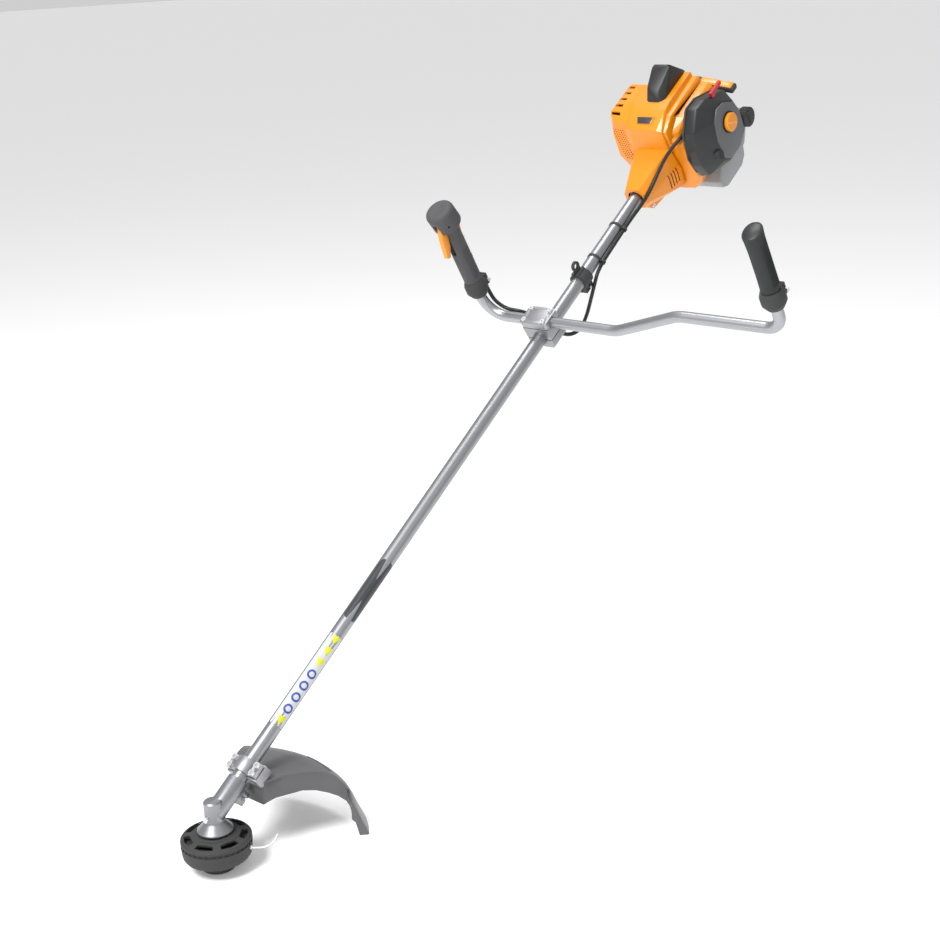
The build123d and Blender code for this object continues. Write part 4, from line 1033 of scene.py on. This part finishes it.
# ---------------------------------------------------------------- engine
@dataclass
class EngineShroud:
    """The faceted orange shroud, with its neck, louvres, badge plate and vents."""
    neck_at: float = 1406.0
    rear: float = 1648.0
    hollow: float = 0.95

    @staticmethod
    def section(at: float, points: list[Flat]) -> list[Point]:
        """Put a section's points (across, up) at a place along the tube.

        Args:
            at: The place along the tube.
            points: The section.

        Returns:
            The points in the shaft's frame.
        """
        return [(at, y, h) for y, h in points]

    def bodies(self) -> list[list[Point]]:
        """The convex bodies that make up the outer form."""
        mouth = self.section(self.neck_at, [(-14, 22), (14, 23), (24, 9), (24, -10), (12, -23), (-12, -23), (-22, -10),
                                            (-22, 9)])
        neck_end = self.section(1505, [(-38, 41), (38, 41), (54, 22), (52, -22), (28, -58), (-8, -64), (-40, -50),
                                       (-46, -8)])
        block = [(1500, -40, 30), (1500, 44, 34), (1500, -40, 84), (1500, -30, 88), (1500, 34, 90), (1504, 46, 84),
                 (1534, -34, 103), (1534, 42, 104), (1560, -34, 107), (1560, 44, 107), (self.rear, -34, 107),
                 (self.rear, 48, 105),
                 (self.rear, -40, 30), (self.rear, 50, 30)]
        side = [(1519, 44, 86), (1519, 80, 90), (1516, 92, 60), (1514, 97, 8), (1516, 84, -24), (1514, 54, -12),
                (1512, 46, 40),
                (1536, 92, 101), (1545, 105, 84), (1538, 111, 44), (1534, 110, 0), (1560, 44, 105), (1556, 84, 105),
                (1612, 84, 105),
                (1616, 96, 96), (1622, 110, 66), (1630, 111, 0), (1632, 86, -27), (1612, 44, 104), (1636, 50, 60),
                (1540, 92, -27), (1632, 50, -27), (1540, 44, -27)]
        fan = []
        for at, grow in ((1509, -2.5), (1522, 2.0), (1559, 2.0)):
            fan += self.section(at, [(-58 - grow, -63 if at < 1520 else -66), (-76 - grow, -34), (-77 - grow, 16),
                                     (-68 - grow, 50 if at > 1520 else 44), (-30, 62), (30, 62),
                                       (68 + grow, 30), (74 + grow, -8), (58 + grow, -52),
                                       (30, -72 if at > 1520 else -64), (4, -74 if at > 1520 else -64),
                                       (-30, -73 if at > 1520 else -64)])
        cheek = self.section(1557, [(-76, -30), (-76, 40), (-60, 60), (-40, 60), (-40, -30)]) + self.section(1592,
                                                                                                             [(-70,
                                                                                                               -30),
                                                                                                               (-70,
                                                                                                                34),
                                                                                                                (-40,
                                                                                                                 50),
                                                                                                                 (-40,
                                                                                                                  -30)])
        rail = [(1504, -30, 34), (1506, -46, 36), (1503, -30, 80), (1506, -45, 79), (1534, -30, 95), (1534, -46, 95),
                (1538, -48, 91),
                (self.rear, -30, 98), (self.rear, -47, 98), (self.rear, -50, 93), (self.rear, -30, 34),
                (self.rear, -50, 34)]
        shelf = [(1516, -40, 34), (1520, -58, 40), (1518, -44, 66), (1524, -57, 64), (1546, -36, 85), (1548, -62, 80),
                 (self.rear, -36, 88),
                 (self.rear, -66, 82), (self.rear, -71, 74), (self.rear, -71, 30), (self.rear, -40, 30),
                 (1552, -70, 72), (1552, -71, 40)]
        lug = [(1424, -7, -22), (1424, 7, -22), (1424, -7, -40), (1424, 7, -40), (1432, -7, -49), (1432, 7, -49),
               (1442, -7, -46), (1442, 7, -46),
               (1516, -6, -62), (1516, 8, -62), (1500, -6, -30), (1500, 8, -30)]
        return [block, mouth + neck_end, side, fan, cheek, rail, shelf, lug]

    def build_shell(self) -> bpy.types.Object:
        """Join the bodies, open the back, give the wall its thickness and cut the openings."""
        shell: bpy.types.Object | None = None
        for index, points in enumerate(self.bodies()):
            part = Shape().hull(points).object(f"shroud_body_{index}", SHAFT, AMBER_ABS)
            shell = part if shell is None else combine(shell, part, "UNION")
        round_edges(shell, 3.0, 14, 3)
        inner: bpy.types.Object | None = None
        for index, points in enumerate(self.bodies()[:4]):
            centre = Vector([sum(p[k] for p in points) / len(points) for k in range(3)])
            small = [tuple(centre + (Vector(p) - centre) * self.hollow) for p in points]
            part = Shape().hull(small).object(f"shroud_hollow_{index}", SHAFT, PAINTED_HOLE_SHADE)
            inner = part if inner is None else combine(inner, part, "UNION")
        combine(shell, inner, "DIFFERENCE")
        cutters = [
            Shape().loft([[(at, 17 * math.cos(a),
                            17 * math.sin(a)) for a in [math.tau * i / 40 for i in range(40)]] for at in (1380, 1440)]),
            Shape().box((1538, -90, 42), (1572, -60, 66)),
            Shape().box((1560.5, -42, 22), (1641, 44, 38)),
            Shape().box((1556, -200, -200), (1700, 200, -31)),
            Shape().box((1584, -15, 90), (1632, 15, 112)),
            Shape().box((1630, -40, 22), (1660, 40, 62)),
        ]
        for index, cutter in enumerate(cutters):
            combine(shell, cutter.object(f"shroud_cut_{index}", SHAFT, PAINTED_HOLE_SHADE), "DIFFERENCE")
        slot = Shape().box((0, 70, 88), (6.5, 125, 112)).object("louvre_cut", Matrix.Identity(4), PAINTED_HOLE_SHADE)
        slots = Repeats.bake(slot, Repeats.row(), PAINTED_HOLE_SHADE, {"Count": 5, "Step": (17.0, 0, 0)})
        slots.data.transform(SHAFT @ Matrix.Translation((1531, 0, 0)))
        combine(shell, slots, "DIFFERENCE")
        vent = Shape().hull(corners((0, 3.2), (-60, -8), (-24, 10))).object("vent_cut", Matrix.Identity(4), PAINTED_HOLE_SHADE)
        vents = Repeats.bake(vent, Repeats.row(), PAINTED_HOLE_SHADE, {"Count": 4, "Step": (7.5, 0, 0)})
        vents.data.transform(SHAFT @ Matrix.Translation((1470, 0, -8)))
        combine(shell, vents, "DIFFERENCE")
        pit = Shape().loft([[(at, 1.7 * math.cos(math.tau * k / 6),
                              1.7 * math.sin(math.tau * k / 6)) for k in range(6)] for at in (0, 20)])
        column = Repeats.bake(pit.object("grille_column", Matrix.Identity(4), PAINTED_HOLE_SHADE), Repeats.row(), PAINTED_HOLE_SHADE,
                              {"Count": 14, "Step": (0, 0.4, 5.4)})
        grille = Repeats.bake(column, Repeats.row(), PAINTED_HOLE_SHADE, {"Count": 5, "Step": (0, 5.6, 0.6)})
        grille.data.transform(SHAFT @ Matrix.Translation((1504, 60, 0)))
        combine(shell, grille, "DIFFERENCE")
        for polygon in shell.data.polygons:
            polygon.material_index = 0
        shell.data.materials.clear()
        shell.data.materials.append(AMBER_ABS.make())
        return settle(shell, 26)

    def build_details(self) -> None:
        """Add the plain badge plate, near-black pieces painted with the shade of the flange's hole and slot, and the
        screws.
        """
        slope = math.radians(-25)
        badge_place = SHAFT @ Matrix.Translation((1517.2, 3, 97.2)) @ Matrix.Rotation(slope, 4, "Y")
        for name, size, high, finish in (("badge_rim", 1.0, 0.9, AMBER_ABS), ("badge_plate", 0.88, 1.2, LABEL_GREY)):
            outline = [(-8 * size, -16 * size), (8 * size, -21 * size), (8 * size, 21 * size), (-8 * size, 16 * size)]
            plate = Shape().loft([[(x, y, z) for x, y in outline] for z in (-1.0, high)]).object(name, badge_place,
                                                                                                 finish)
            show(round_edges(plate, 0.6, 40), "frame", "shroud_plastic")
        # The flange's hole and slot are thin near-black pieces: painted shade, not cuts.
        ring = Shape().turned([(3.0, 0), (4.2, 0), (4.2, 0.5), (3.0, 0.5), (3.0, 0)], 24)
        hole = ring.object("flange_hole_rim",
                           SHAFT @ Matrix.Translation((1632, -70.9, 64)) @ Matrix.Rotation(math.radians(90), 4, "X"),
                           PAINTED_HOLE_SHADE)
        show(hole, "frame", "shroud_plastic")
        plug = Shape().turned([(0, 0), (3.9, 0), (3.9, 0.4), (0, 0.4)], 24)
        show(plug.object("flange_hole",
                         SHAFT @ Matrix.Translation((1632, -70.9, 64)) @ Matrix.Rotation(math.radians(90), 4, "X"),
                         PAINTED_HOLE_SHADE), "frame", "shroud_plastic")
        slot = Shape().box((1600, -71.5, 60), (1612, -70.6, 66)).object("flange_slot", SHAFT, PAINTED_HOLE_SHADE)
        show(round_edges(slot, 0.3, 40), "frame", "shroud_plastic")
        screws = screw_heads("shroud_screws", SHAFT, [((1433, -7, -42), (0, -1, 0)), ((1528, -79, -40), (0, -1, 0)),
                                                      ((1640, 20, 106.8), (0, 0, 1))], 4.2, 2.6)
        show(screws, "frame", "zinc_plated_steel")

    def build(self) -> None:
        """Build the shroud."""
        show(self.build_shell(), "frame", "shroud_plastic", "engine_shroud")
        self.build_details()


class EngineCovers:
    """Spark-plug cover, starter and air filter."""

    def build_plug_cover(self) -> None:
        """Make the spark-plug cover: a hooded wedge with a near-black dish painted with the shade of its screw hole."""
        points = [(1556, -12, 102), (1556, 14, 102), (1562, -21, 102), (1562, 21, 102), (1561, -8, 112),
                  (1563, 12, 113),
                  (1572, -8, 123), (1574, 15, 131), (1578, -2, 122.5), (1612, 19, 147), (1620, 18, 147.5),
                  (1620, -18, 147.5), (1628, -20, 134),
                  (1594, -19, 126), (1636, -20, 118), (1632, 18, 137), (1630, -18, 133), (1656, 16, 108),
                  (1654, -18, 106), (1646, -21, 102), (1650, 20, 102)]
        cover = Shape().hull(points).object("plug_cover_skin", SHAFT, DARK_ABS)
        round_edges(cover, 2.4, 16, 3)
        show(cover, "frame", "dark_grey_plastic", "spark_plug_cover")
        # The screw hole is a shallow near-black dish: painted shade, not a cut.
        place = SHAFT @ Matrix.Translation((1607, 2, 142.2)) @ Matrix.Rotation(math.radians(-31), 4, "Y")
        hole = Shape().turned([(0, -1), (4.2, -1), (4.2, 1.0), (3.2, 1.3), (3.0, 0.2), (0, 0.2)],
                              32).object("plug_cover_hole", place, PAINTED_HOLE_SHADE)
        show(settle(hole), "frame", "dark_grey_plastic")

    @staticmethod
    def drawn_in(points: list[Point], share: float, shift: float) -> list[Point]:
        """Draw points in towards the filter cover's middle and move them back.

        Args:
            points: Points in the shaft's frame.
            share: How far they are drawn in, as a share of their distance from the middle.
            shift: How far they are moved back.

        Returns:
            The moved points.
        """
        return [(t + (1580 - t) * share, y + shift, h + (28 - h) * share) for t, y, h in points]

    def build_filter(self) -> None:
        """Make the faceted filter cover with its main face painted lighter for the light that falls on it, its knob,
        base and levers.
        """
        low = [(1508, -30), (1498, 4), (1499, 40), (1512, 72), (1545, 103.5), (1578, 101.5), (1640, 73.5),
               (1649.5, 30), (1645, -22), (1608, -44), (1545, -44)]
        back = [(t, -80, h) for t, h in low]
        shell_points = back + self.drawn_in(back, 0.02, -21)
        face = [(1540, -122, -18), (1537, -124, 30), (1548, -124, 70), (1570, -122, 84), (1598, -120, 80),
                (1628, -120, 58), (1636, -120, 28), (1630, -120, -16), (1600, -121, -33), (1560, -121, -33)]
        cover = Shape().hull(shell_points + face).object("filter_cover_skin", SHAFT, DARK_ABS)
        inner = self.drawn_in(shell_points, 0.06, 3.0) + self.drawn_in(face, 0.08, 3.0)
        mouth = [(t, -70, h) for t, _, h in self.drawn_in(shell_points[:11], 0.06, 0)]
        cutter = Shape().hull(inner[:22] + mouth + inner[22:]).object("filter_hollow", SHAFT, DARK_ABS)
        round_edges(cover, 2.2, 12, 3)
        combine(cover, cutter, "DIFFERENCE")
        show(settle(cover, 24), "frame", "dark_grey_plastic", "filter_cover")
        # Painted light: the main face is the cover's own dark plastic made lighter where light falls on it.
        plate = [(1544, -14), (1541.5, 30), (1551.5, 65), (1572, 81.5), (1596, 77.5), (1624, 56), (1631.5, 28),
                 (1626, -13), (1598, -29), (1562, -29)]
        panel = Shape().hull([(t, y, h) for t, h in plate for y in (-121, -124.6)]).object("filter_cover_face", SHAFT,
                                                                                           PAINTED_LIGHT_ABS)
        round_edges(panel, 1.2, 30, 2)
        show(panel, "frame", "dark_grey_plastic")
        outline = [(0, 9), (13, 9), (16.6, 8.4), (18, 7), (18, 1), (17, 0), (4, 0), (4, -20), (0, -20)]
        turn = Matrix.Rotation(math.radians(90), 4, "X")
        knob = Shape().turned(outline, 64).object("filter_knob_skin",
                                                  SHAFT @ Matrix.Translation((1590, -125.4, 36)) @ turn, AMBER_TRIM)
        grip = Shape().hull([(x, y, z) for x, y in ((-15, -3), (-15, 3), (15, 3), (15, -3)) for z in (8.5,
                                                                                                      9.0)] + [(-13, 0,
                                                                                                                10.4),
                                                                                                                (13, 0,
                                                                                                                 10.4)])
        bar = grip.object("filter_knob_bar",
                          SHAFT @ Matrix.Translation((1590, -125.4, 36)) @ turn @ Matrix.Rotation(math.radians(-35), 4,
                                                                                                  "Z"), AMBER_TRIM)
        show(settle(knob), "cover_knob", "amber_plastic", "filter_knob")
        show(settle(bar), "cover_knob", "amber_plastic")
        # A near-black ring round the knob's foot: painted shade of the gap it sits in.
        seat = Shape().turned([(18.4, 0), (20.4, 0), (20.4, 1.6), (19.6, 2.2), (18.4, 2.2), (18.4, 0)], 64)
        show(seat.object("filter_knob_gap_shade", SHAFT @ Matrix.Translation((1590, -125.0, 36)) @ turn, PAINTED_HOLE_SHADE), "frame",
             "dark_grey_plastic")
        dress(BLACK_NYLON, "filter_base")
        dress(RUBBER, "primer_bulb")
        dress(FOAM, "filter_element")
        dress(RED_ABS, "choke_lever")

    def build_starter(self) -> None:
        """Make the starter housing's slots and the pull handle."""
        show(softened("starter_housing", 0.8, DARK_ABS), "frame", "dark_grey_plastic", "starter_housing")
        blade = Shape().hull(corners((36, 54), (-1.6, 1.6), (0, 1.4))).object("starter_ribs", Matrix.Identity(4),
                                                                              DARK_ABS)
        ribs = Repeats.bake(blade, Repeats.ring(), DARK_ABS, {"Count": 24, "Turn": math.tau / 24})
        ribs.data.transform(SHAFT @ Matrix.Translation((1693.6, 0, 0)) @ Matrix.Rotation(math.radians(90), 4, "Y"))
        show(ribs, "frame", "dark_grey_plastic")
        show(softened("starter_handle", 1.2, BLACK_NYLON), "pull_handle", "dark_grey_plastic", "starter_handle")
        place = SHAFT @ Matrix.Translation((1667, -66, 59)) @ Matrix.Rotation(math.radians(11), 4, "X")
        insert = Shape().hull(corners((-8, 8), (-34, 34), (6.0, 7.6)) + corners((-5, 5), (-28, 28), (9.0,)))
        show(round_edges(insert.object("starter_handle_insert", place, AMBER_TRIM), 1.2, 20), "pull_handle",
             "amber_plastic")

    def build(self) -> None:
        """Build the covers."""
        self.build_plug_cover()
        self.build_filter()
        self.build_starter()


class FuelTank:
    """The cloudy fuel tank under the engine and its ribbed cap."""

    def build(self) -> None:
        """Make the tank with its filler neck and soften the cap."""
        outline = [(1548, -84), (1552, -100), (1568, -109), (1628, -109), (1646, -98), (1656, -72), (1656, -62),
                   (1634, -61),
                   (1606, -50), (1576, -50), (1562, -84)]
        tank = Shape().hull([(t, y, h) for t, h in outline for y in (-84, 56)]).object("fuel_tank_skin", SHAFT, TANK_PE)
        arm = Shape().hull([(t, y, h) for t, h in ((1640, -64), (1640, -80), (1658, -80), (1692, -44), (1692, -17),
                                                   (1668, -17)) for y in (-84, -65)]).object("tank_arm", SHAFT, TANK_PE)
        combine(tank, arm, "UNION")
        round_edges(tank, 4.0, 30, 3)
        show(settle(tank, 40), "frame", "tank_plastic", "fuel_tank")
        show(softened("fuel_cap", 0.4, BLACK_NYLON), "tank_cap", "black_nylon", "fuel_cap")


class EngineInside:
    """What sits under the covers."""

    def build(self) -> None:
        """Dress the inner parts and the screws."""
        dress(CASTING, "clutch_housing", "crankcase", "cylinder", "piston", "carburettor", "flywheel_fan")
        dress(MACHINED, "clutch_drum", "clutch_shoes", "crank_shaft")
        dress(SPRING, "recoil_spring")
        dress(BLACK_NYLON, "starter_pulley")
        dress(HOT_STEEL, "muffler")
        dress(GLAZE, "spark_plug")
        dress(ZINC, "cap_screws", "cross_screws", "throttle_arm")


def main() -> None:
    """Build every sub-assembly in order."""
    logging.basicConfig(level=logging.INFO, format="%(name)s: %(message)s")
    Stage().build()
    for assembly in (LineHead(), ThrottleCable(), MainTube(), Gearbox(), Guard(), Handlebar(), EngineShroud(),
                     EngineCovers(), FuelTank(), EngineInside()):
        assembly.build()
        log.info("%s done", type(assembly).__name__)
    bpy.context.view_layer.update()


if __name__ == "__main__":
    main()
